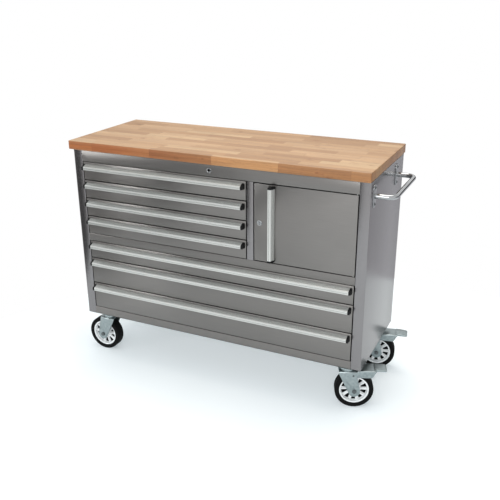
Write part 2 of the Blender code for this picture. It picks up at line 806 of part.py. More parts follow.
def make_hinge_pins(finish):
    """Headed pins from the rails into the door's top and bottom returns."""
    for name, rail_z, way in (("hinge_pin_top", UPPER_TOP, 1), ("hinge_pin_bottom", UPPER_BOTTOM, -1)):
        head_low = rail_z + way * (SHEET + TOUCH)
        spot = (hinge_x(), CABINET_FRONT + HINGE_INSET, 0)
        ends = sorted((rail_z - way * (REVEAL + HINGE_PIN_REACH), head_low + way * HINGE_HEAD_THICK / 2))
        pin = cylinder(name, HINGE_PIN_RADIUS, *ends, sides=PIN_SIDES, centre=spot, finish=finish)
        head_ends = sorted((head_low, head_low + way * HINGE_HEAD_THICK))
        join(pin, cylinder(name + "_head", HINGE_PIN_HEAD, *head_ends, sides=PIN_SIDES, centre=spot))


# ---- push handle ----
def handle_path():
    """Centre line from one foot to the other: out, round a bend, along the bar and back."""
    foot = CABINET_RIGHT + FLANGE_THICK / 3
    bar = CABINET_RIGHT + HANDLE_REACH
    front = CABINET_FRONT + HANDLE_FRONT
    back = CABINET_BACK - HANDLE_BACK
    points = [(foot, front)]
    points += arc((bar - HANDLE_BEND, front + HANDLE_BEND), HANDLE_BEND, -math.pi / 2, 0, 6)
    points += arc((bar - HANDLE_BEND, back - HANDLE_BEND), HANDLE_BEND, 0, math.pi / 2, 6)
    points.append((foot, back))
    return points


def make_push_handle(chrome):
    height = CABINET_TOP - HANDLE_DROP
    curve = bpy.data.curves.new("push_handle", "CURVE")
    curve.dimensions = "3D"
    curve.bevel_depth = HANDLE_RADIUS
    curve.bevel_resolution = 3
    curve.use_fill_caps = True
    spline = curve.splines.new("POLY")
    path = handle_path()
    spline.points.add(len(path) - 1)
    for target, (x, y) in zip(spline.points, path):
        target.co = (x, y, height, 1)
    add("push_handle", curve, chrome)
    for name, y in (("handle_flange_front", path[0][1]), ("handle_flange_rear", path[-1][1])):
        make_handle_flange(name, (CABINET_RIGHT + TOUCH, y, height), chrome)


def make_handle_flange(name, at, finish):
    """A plate with round ends, a hole for the tube, and a screw head above and below it."""
    radius = FLANGE_WIDTH / 2
    rise = FLANGE_LENGTH / 2 - radius
    outline = list(arc((0, rise), radius, 0, math.pi, 6))
    outline += arc((0, -rise), radius, math.pi, 2 * math.pi, 6)
    flange = flat_shape(name, [outline], 0, FLANGE_THICK, "X", finish, at=at)
    screw_ends = (FLANGE_THICK - BITE, FLANGE_THICK + FLANGE_SCREW_HEAD)
    for side in (-1, 1):
        centre = (0, 0, side * FLANGE_SCREW_SPACING / 2)
        shape = (FLANGE_SCREW_RADIUS, *screw_ends, "X", SCREW_SIDES, centre)
        join(flange, cylinder(f"{name}_screw_{side + 1}", *shape, at=at))
    ends = (-FLANGE_THICK, 2 * FLANGE_THICK)
    cut(flange, cylinder(name + "_bore", HANDLE_RADIUS + TOUCH, *ends, "X", LOCK_SIDES, at=at))


# ---- casters ----
CROWN_LOW = 2 * WHEEL_RADIUS + TYRE_HEADROOM
CROWN_HIGH = CROWN_LOW + FORK_SHEET
LEG_INSIDE = HUB_WIDTH / 2 + FORK_SIDE_GAP
LEG_OUTSIDE = LEG_INSIDE + FORK_SHEET
RACE_TOP = CROWN_HIGH + RACE_HEIGHT
PLATE_LOW = CASTER_TOP - PLATE_THICK
PEDAL_PIVOT_Z = CROWN_LOW - PEDAL_PIVOT_DROP
TREAD_LOW = CROWN_HIGH + PEDAL_RISE
PEDAL_SIDE = LEG_OUTSIDE + TOUCH + PEDAL_THICK


def caster_places():
    left = CABINET_LEFT + CASTER_INSET_SIDE
    right = CABINET_RIGHT - CASTER_INSET_SIDE
    front = CABINET_FRONT + CASTER_INSET_ENDS
    back = CABINET_BACK - CASTER_INSET_ENDS
    return {
        "front_left": (left, front),
        "front_right": (right, front),
        "back_left": (left, back),
        "back_right": (right, back),
    }


def caster_plate_mesh():
    """Top plate with the upper race under it and the kingpin that the fork hangs on."""
    half_x, half_y = PLATE_LENGTH / 2, PLATE_WIDTH / 2
    plate = box("caster_plate_master", (-half_x, -half_y, PLATE_LOW), (half_x, half_y, CASTER_TOP))
    race_low = RACE_TOP + 3 * TOUCH
    head_high = CROWN_LOW - 3 * TOUCH
    head_low = head_high - KINGPIN_HEAD_THICK
    join(
        plate,
        cylinder("upper_race", RACE_RADIUS + RACE_STEP, race_low, PLATE_LOW + BITE, sides=RACE_SIDES),
        cylinder("kingpin", KINGPIN_RADIUS, (head_low + head_high) / 2, race_low + BITE, sides=PIN_SIDES),
        cylinder("kingpin_head", KINGPIN_HEAD, head_low, head_high, sides=PIN_SIDES),
    )
    return finished(plate)


def leg_outline():
    """A leg's side view: wide under the crown, and down to a round foot about the axle."""
    axle = (TRAIL, WHEEL_RADIUS)
    top = CROWN_LOW + FORK_SHEET / 2
    lead, rear = (-FORK_TOP_HALF, top), (FORK_TOP_HALF, top)
    first = tangent_angle(axle, FORK_FOOT_RADIUS, rear)[0]
    last = tangent_angle(axle, FORK_FOOT_RADIUS, lead)[1]
    return [lead, rear] + list(arc(axle, FORK_FOOT_RADIUS, first, last - 2 * math.pi, 10))


def fork_mesh():
    """Crown, lower race and two tapered legs, pressed as one piece and bored for axle and kingpin."""
    fork = box(
        "fork_master",
        (-FORK_TOP_HALF, -LEG_OUTSIDE + BITE, CROWN_LOW),
        (FORK_TOP_HALF, LEG_OUTSIDE - BITE, CROWN_HIGH),
    )
    outline = leg_outline()
    join(
        fork,
        flat_shape("fork_leg_low_y", [outline], -LEG_OUTSIDE, -LEG_INSIDE, "Y"),
        flat_shape("fork_leg_high_y", [outline], LEG_INSIDE, LEG_OUTSIDE, "Y"),
        cylinder("lower_race", RACE_RADIUS, CROWN_HIGH - BITE, RACE_TOP, sides=RACE_SIDES),
    )
    reach = 2 * LEG_OUTSIDE
    ends = (CROWN_LOW - RACE_HEIGHT, RACE_TOP + RACE_HEIGHT)
    axle_hole = bore_radius(AXLE_RADIUS, AXLE_SIDES)
    cut(
        fork,
        cylinder("kingpin_bore", bore_radius(KINGPIN_RADIUS, PIN_SIDES), *ends, sides=PIN_SIDES),
        cylinder("axle_bore", axle_hole, -reach, reach, "Y", AXLE_SIDES, (TRAIL, 0, WHEEL_RADIUS)),
    )
    return fork


def braked_fork_mesh(fork):
    """The same fork with holes for the pedal's pins."""
    reach = 2 * LEG_OUTSIDE
    pivot = (PEDAL_PIVOT_X, 0, PEDAL_PIVOT_Z)
    hole_radius = bore_radius(PEDAL_PIVOT_RADIUS, PIN_SIDES)
    cut(fork, cylinder("pedal_pin_bore", hole_radius, -reach, reach, "Y", PIN_SIDES, pivot))
    return finished(fork)


def axle_mesh():
    """Axle bolt about the Y axis, with a hexagon head and nut outside the legs."""
    face = LEG_OUTSIDE + TOUCH
    end = face + AXLE_HEAD_THICK / 2
    axle = cylinder("axle_master", AXLE_RADIUS, -end, end, "Y", AXLE_SIDES)
    join(
        axle,
        cylinder("axle_head", AXLE_HEAD_RADIUS, -face - AXLE_HEAD_THICK, -face, "Y", 6),
        cylinder("axle_nut", AXLE_HEAD_RADIUS, face, face + AXLE_HEAD_THICK, "Y", 6),
    )
    return finished(axle)


def rim_mesh():
    """Hub, web with ten windows, and the rim that holds the tyre, all about the Z axis."""
    seat = RIM_RADIUS - RIM_LIP
    half_hub, half_rim, half_web = HUB_WIDTH / 2, RIM_WIDTH / 2, RIM_WEB / 2
    hole_radius = bore_radius(AXLE_RADIUS + RUNNING_GAP, RIM_SIDES)
    half = [(hole_radius, half_hub), (HUB_RADIUS, half_hub), (HUB_RADIUS, half_web), (seat, half_web)]
    half += [(seat, half_rim), (RIM_RADIUS, half_rim)]
    section = half + [(radius, -height) for radius, height in reversed(half)]
    rim = turned("rim_master", section, RIM_SIDES)
    windows = []
    for index in range(SPOKES):
        middle = 2 * math.pi * (index + 0.5) / SPOKES
        outer_half = math.pi / SPOKES * SPOKE_WINDOW_SHARE
        inner_half = outer_half * SPOKE_WINDOW_TAPER
        windows.append(
            list(arc((0, 0), SPOKE_WINDOW_INNER, middle - inner_half, middle + inner_half, 1))
            + list(arc((0, 0), SPOKE_WINDOW_OUTER, middle + outer_half, middle - outer_half, 2))
        )
    cut(rim, flat_shape("spoke_windows", windows, -RIM_WEB, RIM_WEB, "Z"))
    return finished(rim)


def tyre_mesh():
    """A solid tyre with rounded shoulders, about the Z axis."""
    inner = RIM_RADIUS + TOUCH
    half = WHEEL_WIDTH / 2
    upper = [
        (inner, half - TYRE_BEAD),
        (inner + TYRE_BEAD, half),
        (WHEEL_RADIUS - TYRE_SHOULDER, half),
        (WHEEL_RADIUS, half - TYRE_SHOULDER),
    ]
    section = upper + [(radius, -height) for radius, height in reversed(upper)]
    return finished(turned("tyre_master", section, TYRE_SIDES))


def pedal_mesh():
    """Stamped pedal over the wheel: tread with deep sides hung on the fork, brake shoe, foot pad."""
    side_inside = PEDAL_SIDE - PEDAL_THICK
    tread_middle = TREAD_LOW + PEDAL_THICK / 2
    pad_x = PEDAL_REACH - PAD_LENGTH
    pedal = box(
        "pedal_master",
        (PEDAL_START, BITE - PEDAL_SIDE, TREAD_LOW),
        (pad_x, PEDAL_SIDE - BITE, TREAD_LOW + PEDAL_THICK),
    )
    side_sheet = [(pad_x - BITE, tread_middle), (PEDAL_SKIRT_END, PEDAL_PIVOT_Z - PEDAL_EAR_RADIUS)]
    side_sheet += arc((PEDAL_PIVOT_X, PEDAL_PIVOT_Z), PEDAL_EAR_RADIUS, -math.pi / 2, -math.pi * 1.25, 5)
    side_sheet.append((PEDAL_START - BITE, tread_middle))
    for side in (-1, 1):
        ends = sorted((side * side_inside, side * PEDAL_SIDE))
        pin_ends = sorted((side * (LEG_INSIDE + TOUCH), side * (side_inside + PEDAL_THICK / 2)))
        pivot = (PEDAL_PIVOT_X, 0, PEDAL_PIVOT_Z)
        join(
            pedal,
            flat_shape(f"pedal_side_{side + 1}", [side_sheet], *ends, "Y"),
            cylinder(f"pedal_pin_{side + 1}", PEDAL_PIVOT_RADIUS, *pin_ends, "Y", PIN_SIDES, pivot),
        )
    pad = box(
        "pedal_pad",
        (pad_x - PAD_OVERLAP, -PAD_WIDTH / 2, tread_middle - PAD_THICK / 2),
        (PEDAL_REACH, PAD_WIDTH / 2, tread_middle + PAD_THICK / 2),
    )
    shoe_x = PEDAL_PIVOT_X + SHOE_AHEAD
    shoe = box(
        "brake_shoe",
        (shoe_x - SHOE_LENGTH / 2, -WHEEL_WIDTH / 2, shoe_height(shoe_x)),
        (shoe_x + SHOE_LENGTH / 2, WHEEL_WIDTH / 2, tread_middle),
    )
    join(pedal, pad, shoe)
    return pedal


def shoe_height(middle):
    """Lowest that the shoe may reach at rest, so that it just clears the tyre when pressed."""
    turn = math.radians(PEDAL_PRESS)
    lowest = 0.0
    for x in (middle - SHOE_LENGTH / 2, middle + SHOE_LENGTH / 2):
        across = x - TRAIL
        tyre_top = WHEEL_RADIUS + math.sqrt(WHEEL_RADIUS**2 - across**2)
        drop = (x - PEDAL_PIVOT_X) * math.sin(turn)
        lowest = max(lowest, tyre_top + drop + 2 * TOUCH)
    return lowest


def make_casters(zinc, wheel_metal, rubber):
    plate = caster_plate_mesh()
    fork_master = fork_mesh()
    fork = finished(fork_master)
    braked_fork = braked_fork_mesh(fork_master)
    axle, rim, tyre = axle_mesh(), rim_mesh(), tyre_mesh()
    pedal = finished(pedal_mesh())
    pedal.transform(Matrix.Translation((-PEDAL_PIVOT_X, 0, -PEDAL_PIVOT_Z)))
    for where, (x, y) in caster_places().items():
        braked = where.endswith("right")
        turn = math.radians(SWIVEL_TURNS[where])
        add("caster_plate_" + where, plate, zinc, at=(x, y, 0))
        swivel = empty("swivel_" + where, (x, y, 0), turn)
        add("fork_" + where, braked_fork if braked else fork, zinc, swivel)
        axle_at = (TRAIL, 0, WHEEL_RADIUS)
        add("axle_" + where, axle, zinc, swivel, axle_at)
        wheel = empty("wheel_" + where, axle_at, parent=swivel)
        add("rim_" + where, rim, wheel_metal, wheel, turn=(math.pi / 2, 0, 0))
        add("tyre_" + where, tyre, rubber, wheel, turn=(math.pi / 2, 0, 0))
        if braked:
            add("brake_pedal_" + where, pedal, zinc, swivel, (PEDAL_PIVOT_X, 0, PEDAL_PIVOT_Z))


def main():
    start_scene()
    finish = make_materials()
    make_worktop(finish["wood"])
    make_sides(finish["steel"])
    make_back_panel(finish["steel"])
    make_base_pan(finish["steel"])
    make_rails(finish["steel"])
    make_divider(finish["steel"])
    make_cupboard_floor(finish["steel"])
    make_drawers(finish["steel"], finish["aluminium"])
    make_racks(finish["zinc"])
    make_lock("top_lock", None, top_lock_place(), finish["chrome"], finish["zinc"])
    make_door(finish["steel"], finish["aluminium"], finish["chrome"], finish["zinc"])
    make_hinge_pins(finish["zinc"])
    make_push_handle(finish["chrome"])
    make_casters(finish["zinc"], finish["wheel_metal"], finish["rubber"])
    bpy.context.view_layer.update()


main()
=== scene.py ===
# %% [markdown]
# # A rolling workbench with drawers
# The bench is a steel cabinet on four swivel casters under an oiled butcher-block top, with four
# small drawers and a cupboard above three wide drawers. Its sizes and moving pieces come from a
# finished CAD model, and this lesson gives it its looks: detailed pieces in the same places,
# finishes made of nodes, soft studio light and a camera. Everything is in metres, the floor is at
# z = 0, the drawers open towards -Y and the push handle is at +X.

# %% Load the CAD model and measure it
import json
import math

import bmesh
import bpy
from mathutils import Matrix, Vector


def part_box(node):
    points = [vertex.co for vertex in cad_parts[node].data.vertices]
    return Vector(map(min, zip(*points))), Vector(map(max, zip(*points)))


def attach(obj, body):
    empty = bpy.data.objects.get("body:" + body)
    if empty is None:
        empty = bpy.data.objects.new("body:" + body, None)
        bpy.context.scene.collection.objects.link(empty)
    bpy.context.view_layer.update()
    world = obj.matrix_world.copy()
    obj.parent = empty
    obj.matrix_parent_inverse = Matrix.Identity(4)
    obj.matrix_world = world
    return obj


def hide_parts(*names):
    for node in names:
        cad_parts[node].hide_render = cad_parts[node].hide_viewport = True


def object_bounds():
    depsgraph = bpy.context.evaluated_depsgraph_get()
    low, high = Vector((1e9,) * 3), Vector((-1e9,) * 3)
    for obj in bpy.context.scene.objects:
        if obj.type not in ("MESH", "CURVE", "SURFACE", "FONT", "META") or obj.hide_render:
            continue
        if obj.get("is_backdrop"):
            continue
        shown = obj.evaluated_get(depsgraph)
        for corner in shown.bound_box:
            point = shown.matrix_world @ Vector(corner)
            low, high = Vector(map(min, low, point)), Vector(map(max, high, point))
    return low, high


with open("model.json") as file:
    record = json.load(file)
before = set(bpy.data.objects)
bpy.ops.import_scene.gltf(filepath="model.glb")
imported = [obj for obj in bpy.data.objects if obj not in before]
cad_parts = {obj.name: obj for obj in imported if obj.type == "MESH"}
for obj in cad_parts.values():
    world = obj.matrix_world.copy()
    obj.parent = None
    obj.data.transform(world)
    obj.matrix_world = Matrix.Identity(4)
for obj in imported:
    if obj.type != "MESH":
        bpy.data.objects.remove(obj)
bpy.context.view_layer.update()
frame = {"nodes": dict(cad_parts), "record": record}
MM = 0.001
rides_on = {node: body for body, nodes in frame["record"]["behaviour"]["bodies"].items() for node in nodes}

# %% [markdown]
# ## Tools for modelling by hand
# An operator works on all that is selected, so each piece starts with nothing selected. The helpers
# below do what a modeller does with the mouse: add a primitive, pick faces or edges by their place,
# extrude, spin, cut, and put the finished piece on the body that it moves with.

# %% Start and claim a primitive
def begin(piece=None):
    """Object mode, with only the given piece selected."""
    if bpy.context.object and bpy.context.object.mode != "OBJECT":
        bpy.ops.object.mode_set(mode="OBJECT")
    bpy.ops.object.select_all(action="DESELECT")
    if piece:
        piece.select_set(True)
        bpy.context.view_layer.objects.active = piece


def claim(name):
    """Names the primitive just added and puts its place into its mesh."""
    piece = bpy.context.object
    piece.name = piece.data.name = name
    bpy.ops.object.transform_apply(location=True, rotation=True, scale=True)
    return piece


def block(name, low, high):
    begin()
    low, high = Vector(low), Vector(high)
    bpy.ops.mesh.primitive_cube_add(size=1, location=(low + high) / 2, scale=high - low)
    return claim(name)


def rod(name, radius, start, end, sides=32):
    """A cylinder between two points."""
    begin()
    start, end = Vector(start), Vector(end)
    turn = (end - start).to_track_quat("Z", "Y").to_euler()
    size = {"vertices": sides, "radius": radius, "depth": (end - start).length}
    bpy.ops.mesh.primitive_cylinder_add(**size, location=(start + end) / 2, rotation=turn)
    return claim(name)


# %% Pick, bevel and cut
def edit(piece):
    begin(piece)
    bpy.ops.object.mode_set(mode="EDIT")
    bpy.ops.mesh.select_mode(type="VERT")
    bpy.ops.mesh.select_all(action="SELECT")


def pick(kind, wanted):
    """Selects the corners, edges or faces that wanted() is true for."""
    bpy.ops.mesh.select_mode(type=kind)
    bpy.ops.mesh.select_all(action="DESELECT")
    mesh = bpy.context.object.data
    shape = bmesh.from_edit_mesh(mesh)
    items = {"VERT": shape.verts, "EDGE": shape.edges, "FACE": shape.faces}[kind]
    chosen = [item for item in items if wanted(item)]
    for item in chosen:
        item.select_set(True)
    bmesh.update_edit_mesh(mesh)
    return len(chosen)


def round_edges(piece, width, wanted, segments=3):
    """Bevels the edges that wanted() is true for."""
    edit(piece)
    if pick("EDGE", wanted):
        bpy.ops.mesh.bevel(offset=width, offset_type="OFFSET", segments=segments, affect="EDGES")
    begin(piece)
    return piece


def runs_along(edge, lane):
    way = edge.verts[1].co - edge.verts[0].co
    return abs(way["XYZ".index(lane)]) > 0.999 * way.length


def apply_modifier(piece, kind, **settings):
    begin(piece)
    modifier = piece.modifiers.new("step", kind)
    for key, value in settings.items():
        setattr(modifier, key, value)
    bpy.ops.object.modifier_apply(modifier=modifier.name)
    return piece


def combine(piece, other, operation="DIFFERENCE"):
    """Cuts with, joins or keeps what is inside the other piece, and uses that piece up."""
    apply_modifier(piece, "BOOLEAN", operation=operation, object=other, solver="EXACT")
    bpy.data.objects.remove(other)
    return piece


def ease_all(piece, width, segments=2, angle=40):
    """Breaks every sharp edge, as a file or a mould does."""
    settings = {"width": width, "segments": segments, "angle_limit": math.radians(angle)}
    return apply_modifier(piece, "BEVEL", limit_method="ANGLE", **settings)


# %% Draw an outline, then extrude or turn it
def outline(name, points, closed=True):
    """A plane merged to one corner, which is extruded from point to point."""
    begin()
    points = [Vector(point) for point in points]
    bpy.ops.mesh.primitive_plane_add(size=MM, location=points[0])
    piece = claim(name)
    edit(piece)
    bpy.ops.mesh.merge(type="CENTER")
    for here, there in zip(points, points[1:]):
        bpy.ops.mesh.extrude_vertices_move(TRANSFORM_OT_translate={"value": there - here})
    if closed:
        ends = (points[0], points[-1])
        pick("VERT", lambda corner: min((corner.co - end).length for end in ends) < 0.00001)
        bpy.ops.mesh.edge_face_add()
    bpy.ops.mesh.select_all(action="SELECT")
    return piece


def prism(name, points, way):
    """A filled outline, extruded."""
    piece = outline(name, points)
    bpy.ops.mesh.edge_face_add()
    bpy.ops.mesh.extrude_region_move(TRANSFORM_OT_translate={"value": Vector(way)})
    bpy.ops.mesh.select_all(action="SELECT")
    bpy.ops.mesh.normals_make_consistent(inside=False)
    begin(piece)
    return piece


def turned(name, points, centre, axis, steps=48, closed=True):
    """A section spun once round its axis."""
    piece = outline(name, points, closed)
    bpy.ops.mesh.spin(steps=steps, angle=2 * math.pi, center=centre, axis=axis)
    bpy.ops.mesh.select_all(action="SELECT")
    bpy.ops.mesh.remove_doubles(threshold=0.00001)
    bpy.ops.mesh.normals_make_consistent(inside=False)
    begin(piece)
    return piece


def folded(name, points, way, bend, wall, towards, segments=4):
    """Sheet folded along a line of points, with round bends; its wall grows towards one side."""
    piece = outline(name, points, closed=False)
    bpy.ops.mesh.extrude_region_move(TRANSFORM_OT_translate={"value": Vector(way)})
    pick("EDGE", lambda edge: len(edge.link_faces) == 2)
    bpy.ops.mesh.bevel(offset=bend, offset_type="OFFSET", segments=segments, affect="EDGES")
    begin(piece)
    widest = max(piece.data.polygons, key=lambda face: face.area)
    side = 1 if widest.normal.dot(Vector(towards)) > 0 else -1
    return apply_modifier(piece, "SOLIDIFY", thickness=wall, offset=side, use_even_offset=True)


# %% Copy a piece, and put it on its body
def copied(piece, name, at=(0, 0, 0), turn=0.0):
    """A copy with its own mesh, turned about Z and moved."""
    begin(piece)
    bpy.ops.object.duplicate()
    bpy.context.object.rotation_euler.z = turn
    bpy.context.object.location = at
    return claim(name)


def put_on(piece, node, finish, stands_for=(), angle=34):
    """Shades and finishes a piece and lets it ride with the body that holds a CAD node."""
    begin(piece)
    bpy.ops.object.transform_apply(location=True, rotation=True, scale=True)
    bpy.ops.object.shade_smooth_by_angle(angle=math.radians(angle))
    piece.data.materials.clear()
    piece.data.materials.append(finish)
    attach(piece, rides_on[node])
    if stands_for:
        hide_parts(*stands_for)
    return piece


# %% [markdown]
# ## The camera
# A long lens stands to the right of the bench at a person's eye height and looks down and left, so
# that the fronts, the right side and the top all show. It is placed from the worktop's front left
# corner, and has no shift and no depth of field.

# %% Place the camera
top_low, top_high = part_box("worktop")
camera_data = bpy.data.cameras.new("camera")
camera_data.lens, camera_data.sensor_width = 50.43, 36.0
camera = bpy.data.objects.new("camera", camera_data)
bpy.context.scene.collection.objects.link(camera)
eye = Vector((top_low.x, top_low.y, top_high.z)) + Vector((1.78927, -2.15926, 0.59289))
yaw, pitch, roll = math.radians(24.97), math.radians(90 - 21.29), math.radians(-0.26)
camera.matrix_world = (
    Matrix.Translation(eye)
    @ Matrix.Rotation(yaw, 4, "Z")
    @ Matrix.Rotation(pitch, 4, "X")
    @ Matrix.Rotation(roll, 4, "Z")
)
bpy.context.scene.camera = camera
print("the camera stands", round((eye - Vector((0, 0, 0.5))).length, 2), "m from the bench")

# %% [markdown]
# ## Tools for finishes
# A finish is a small tree of nodes on Object coordinates, which are metres here, so every pattern
# has a real size. Colours are written as on a screen and turned to linear light by one function.

# %% Colours and nodes
def linear(code):
    """A hex colour as Blender's linear colour, by the sRGB curve."""
    colour = []
    for index in (1, 3, 5):
        value = int(code[index : index + 2], 16) / 255
        colour.append(value / 12.92 if value <= 0.04045 else ((value + 0.055) / 1.055) ** 2.4)
    return (*colour, 1.0)


def node(tree, kind, inputs=None, take=0, **settings):
    """Adds a node of a kind, and gives one of its outputs, or all of them if take is None.

    inputs holds a value for a socket, or the output that feeds it."""
    made = tree.nodes.new("ShaderNode" + kind)
    for key, value in settings.items():
        setattr(made, key, value)
    for socket, value in (inputs or {}).items():
        if isinstance(value, bpy.types.NodeSocket):
            tree.links.new(value, made.inputs[socket])
        else:
            made.inputs[socket].default_value = value
    return made.outputs if take is None else made.outputs[take]


def finish(name, **sockets):
    """A new material, its tree, its shader, and its Object coordinates."""
    made = bpy.data.materials.new(name)
    made.use_nodes = True
    tree = made.node_tree
    shader = tree.nodes["Principled BSDF"]
    for socket, value in sockets.items():
        shader.inputs[socket.replace("_", " ")].default_value = value
    return made, tree, shader, node(tree, "TexCoord", take="Object")


def feed(tree, shader, **outputs):
    """Links outputs to the shader's sockets of those names."""
    for socket, output in outputs.items():
        tree.links.new(output, shader.inputs[socket.replace("_", " ")])


def shaded_in_crevices(tree, colour, reach, darkest, closed=0.15, clear=0.5):
    """Darkens a colour where other surfaces stand close in front of it: painted shade in gaps and corners.

    With less than the closed share of open air it is darkest, and past the clear share it is unshaded."""
    # painted shade: ambient occlusion sets how dark the colour gets
    air = node(tree, "AmbientOcclusion", {"Distance": reach}, samples=4, take="AO")
    limits = {1: closed, 2: clear, 3: darkest, 4: 1.0}
    unshaded = node(tree, "MapRange", {"Value": air, **limits})
    return node(tree, "VectorMath", {0: colour, "Scale": unshaded}, operation="SCALE")


# %% [markdown]
# ### Brushed stainless steel
# The cabinet is folded from stainless sheet with a number 4 brushed finish: an abrasive belt leaves
# short parallel scratches, along the drawers and rails and up the sides. The scratches smear a
# reflection across themselves, which the shader's anisotropy does, so the sheet looks soft and grey
# and never mirrors. They are about 0.1 mm apart on the real sheet, and are drawn about 1 mm apart so
# that they show. The sheet's colour is darkened in gaps and corners as painted shade.

# %% Make the two brushed sheets
SCRATCH_APART, SCRATCH_LENGTH, SHEET_PATCH = 1.1 * MM, 90 * MM, 160 * MM


def brushed_steel(name, along):
    """Brushed sheet with its scratches along one axis."""
    lengthwise = along == "X"
    dark, light = ("#6d6b69", "#7e7c7a") if lengthwise else ("#797778", "#8b898a")
    glossy, dull = (0.26, 0.34) if lengthwise else (0.22, 0.28)
    made, tree, shader, place = finish(name, Metallic=1.0, Anisotropic=0.85 if lengthwise else 0.6)
    reach = [1 / SCRATCH_APART] * 3
    reach["XYZ".index(along)] = 1 / SCRATCH_LENGTH
    stretched = node(tree, "Mapping", {"Vector": place, "Scale": reach})
    scratches = node(tree, "TexNoise", {"Vector": stretched, "Scale": 1.0, "Detail": 2.0})
    patches = node(tree, "TexNoise", {"Vector": place, "Scale": 1 / SHEET_PATCH, "Detail": 3.0})
    both = node(tree, "Math", {0: scratches, 1: 0.7}, operation="MULTIPLY")
    both = node(tree, "Math", {0: patches, 1: 0.3, 2: both}, operation="MULTIPLY_ADD")
    tints = {6: linear(dark), 7: linear(light)}
    colour = node(tree, "Mix", {0: both, **tints}, data_type="RGBA", take=2)
    # painted shade: the sheet's colour darkens in gaps and corners, by ambient occlusion
    colour = shaded_in_crevices(tree, colour, 8 * MM, 0.03, 0.28, 0.62)
    rough = node(tree, "MapRange", {"Value": both, 3: glossy, 4: dull})
    bump = node(tree, "Bump", {"Height": scratches, "Strength": 0.4, "Distance": 0.1 * MM})
    smear = node(
        tree,
        "VectorTransform",
        {0: (0, 0.05, 1) if lengthwise else (1, 0.05, 0)},
        vector_type="VECTOR",
        convert_from="OBJECT",
        convert_to="WORLD",
    )
    feed(tree, shader, Base_Color=colour, Roughness=rough, Normal=bump, Tangent=smear)
    return made


steel_along = brushed_steel("brushed_stainless_sheet_along", "X")
steel_upright = brushed_steel("brushed_stainless_sheet_upright", "Z")
print("made", steel_along.name, "and", steel_upright.name)

# %% [markdown]
# ### Extruded aluminium, zinc plate, chrome and painted wheel alloy
# The pulls are extruded and satin anodised, so they are bright with faint lines along their length.
# Casters are pressed from sheet and zinc plated: a cool grey with cloudy patches, and their bolts
# and rivets have dulled. The handle is polished chrome, which is all reflection, on satin flanges.
# The wheels are cast and painted silver, with a slight orange peel.

# %% Make the plain metals
def clouded_metal(
    name, dark, light, cloud, gloss, grain, depth, stretch=(1, 1, 1), metallic=1.0, crevice_shading=(5 * MM, 0.2)
):
    """Metal whose tint and gloss drift in clouds of a real size, with a fine grain on it."""
    made, tree, shader, place = finish(name, Metallic=metallic, Roughness=0.3)
    stretched = node(tree, "Mapping", {"Vector": place, "Scale": stretch})
    clouds = node(tree, "TexNoise", {"Vector": stretched, "Scale": 1 / cloud, "Detail": 4.0})
    grains = node(tree, "TexNoise", {"Vector": stretched, "Scale": 1 / grain, "Detail": 1.0})
    tints = {6: linear(dark), 7: linear(light)}
    colour = node(tree, "Mix", {0: clouds, **tints}, data_type="RGBA", take=2)
    # painted shade: the colour darkens in crevices, by ambient occlusion
    colour = shaded_in_crevices(tree, colour, *crevice_shading)
    rough = node(tree, "MapRange", {"Value": clouds, 3: gloss[0], 4: gloss[1]})
    bump = node(tree, "Bump", {"Height": grains, "Strength": 0.3, "Distance": depth})
    feed(tree, shader, Base_Color=colour, Roughness=rough, Normal=bump)
    return made


def anodised(name, stretch):
    """Satin anodised aluminium whose die lines run along one axis."""
    lines = {"cloud": 40 * MM, "gloss": (0.26, 0.4), "grain": 1.2 * MM, "depth": 0.05 * MM}
    # painted shade: dark lines in the grooves and where the pull meets the drawer
    crevice_shading = (2.4 * MM, 0.12, 0.3, 0.72)
    return clouded_metal(name, "#b6b7b4", "#cbccc9", **lines, stretch=stretch, metallic=0.6, crevice_shading=crevice_shading)


def plated(name, dark, light, cloud, gloss, grain, depth):
    """Plated metal; cloud, grain and depth are in millimetres."""
    return clouded_metal(name, dark, light, cloud * MM, gloss, grain * MM, depth * MM)


anodised_along = anodised("satin_anodised_aluminium_along", (0.02, 1, 1))
anodised_upright = anodised("satin_anodised_aluminium_upright", (1, 1, 0.02))
# each of these metals has painted shade darkening its crevices
zinc = plated("zinc_plated_pressed_steel", "#727c7e", "#a9b3b4", 9, (0.24, 0.44), 1.5, 0.06)
bright_zinc = plated("bright_zinc_fasteners", "#a9adab", "#d3d5d2", 5, (0.18, 0.34), 0.8, 0.03)
dull_zinc = plated("dulled_zinc_fasteners", "#4b4f50", "#74797a", 5, (0.24, 0.4), 0.8, 0.04)
chrome = plated("polished_chrome_plate", "#8f9193", "#aaacad", 50, (0.03, 0.08), 6, 0.01)
satin_chrome = plated("satin_chrome_plate", "#7e8082", "#96989a", 20, (0.2, 0.32), 1.5, 0.03)
alloy = clouded_metal(
    "silver_painted_cast_alloy", "#e2e4e5", "#f6f7f7", 9 * MM, (0.3, 0.45), 1.4 * MM, 0.08 * MM, metallic=0.25
)
metals = (anodised_along, anodised_upright, zinc, bright_zinc, dull_zinc, chrome, satin_chrome, alloy)
print("made", [metal.name for metal in metals])

# %% [markdown]
# ### Rubber and moulded plastic
# Tyres are moulded from black rubber, dull, with dust held in a fine texture. The pulls' end caps
# are black nylon with the faint leather grain of their mould.

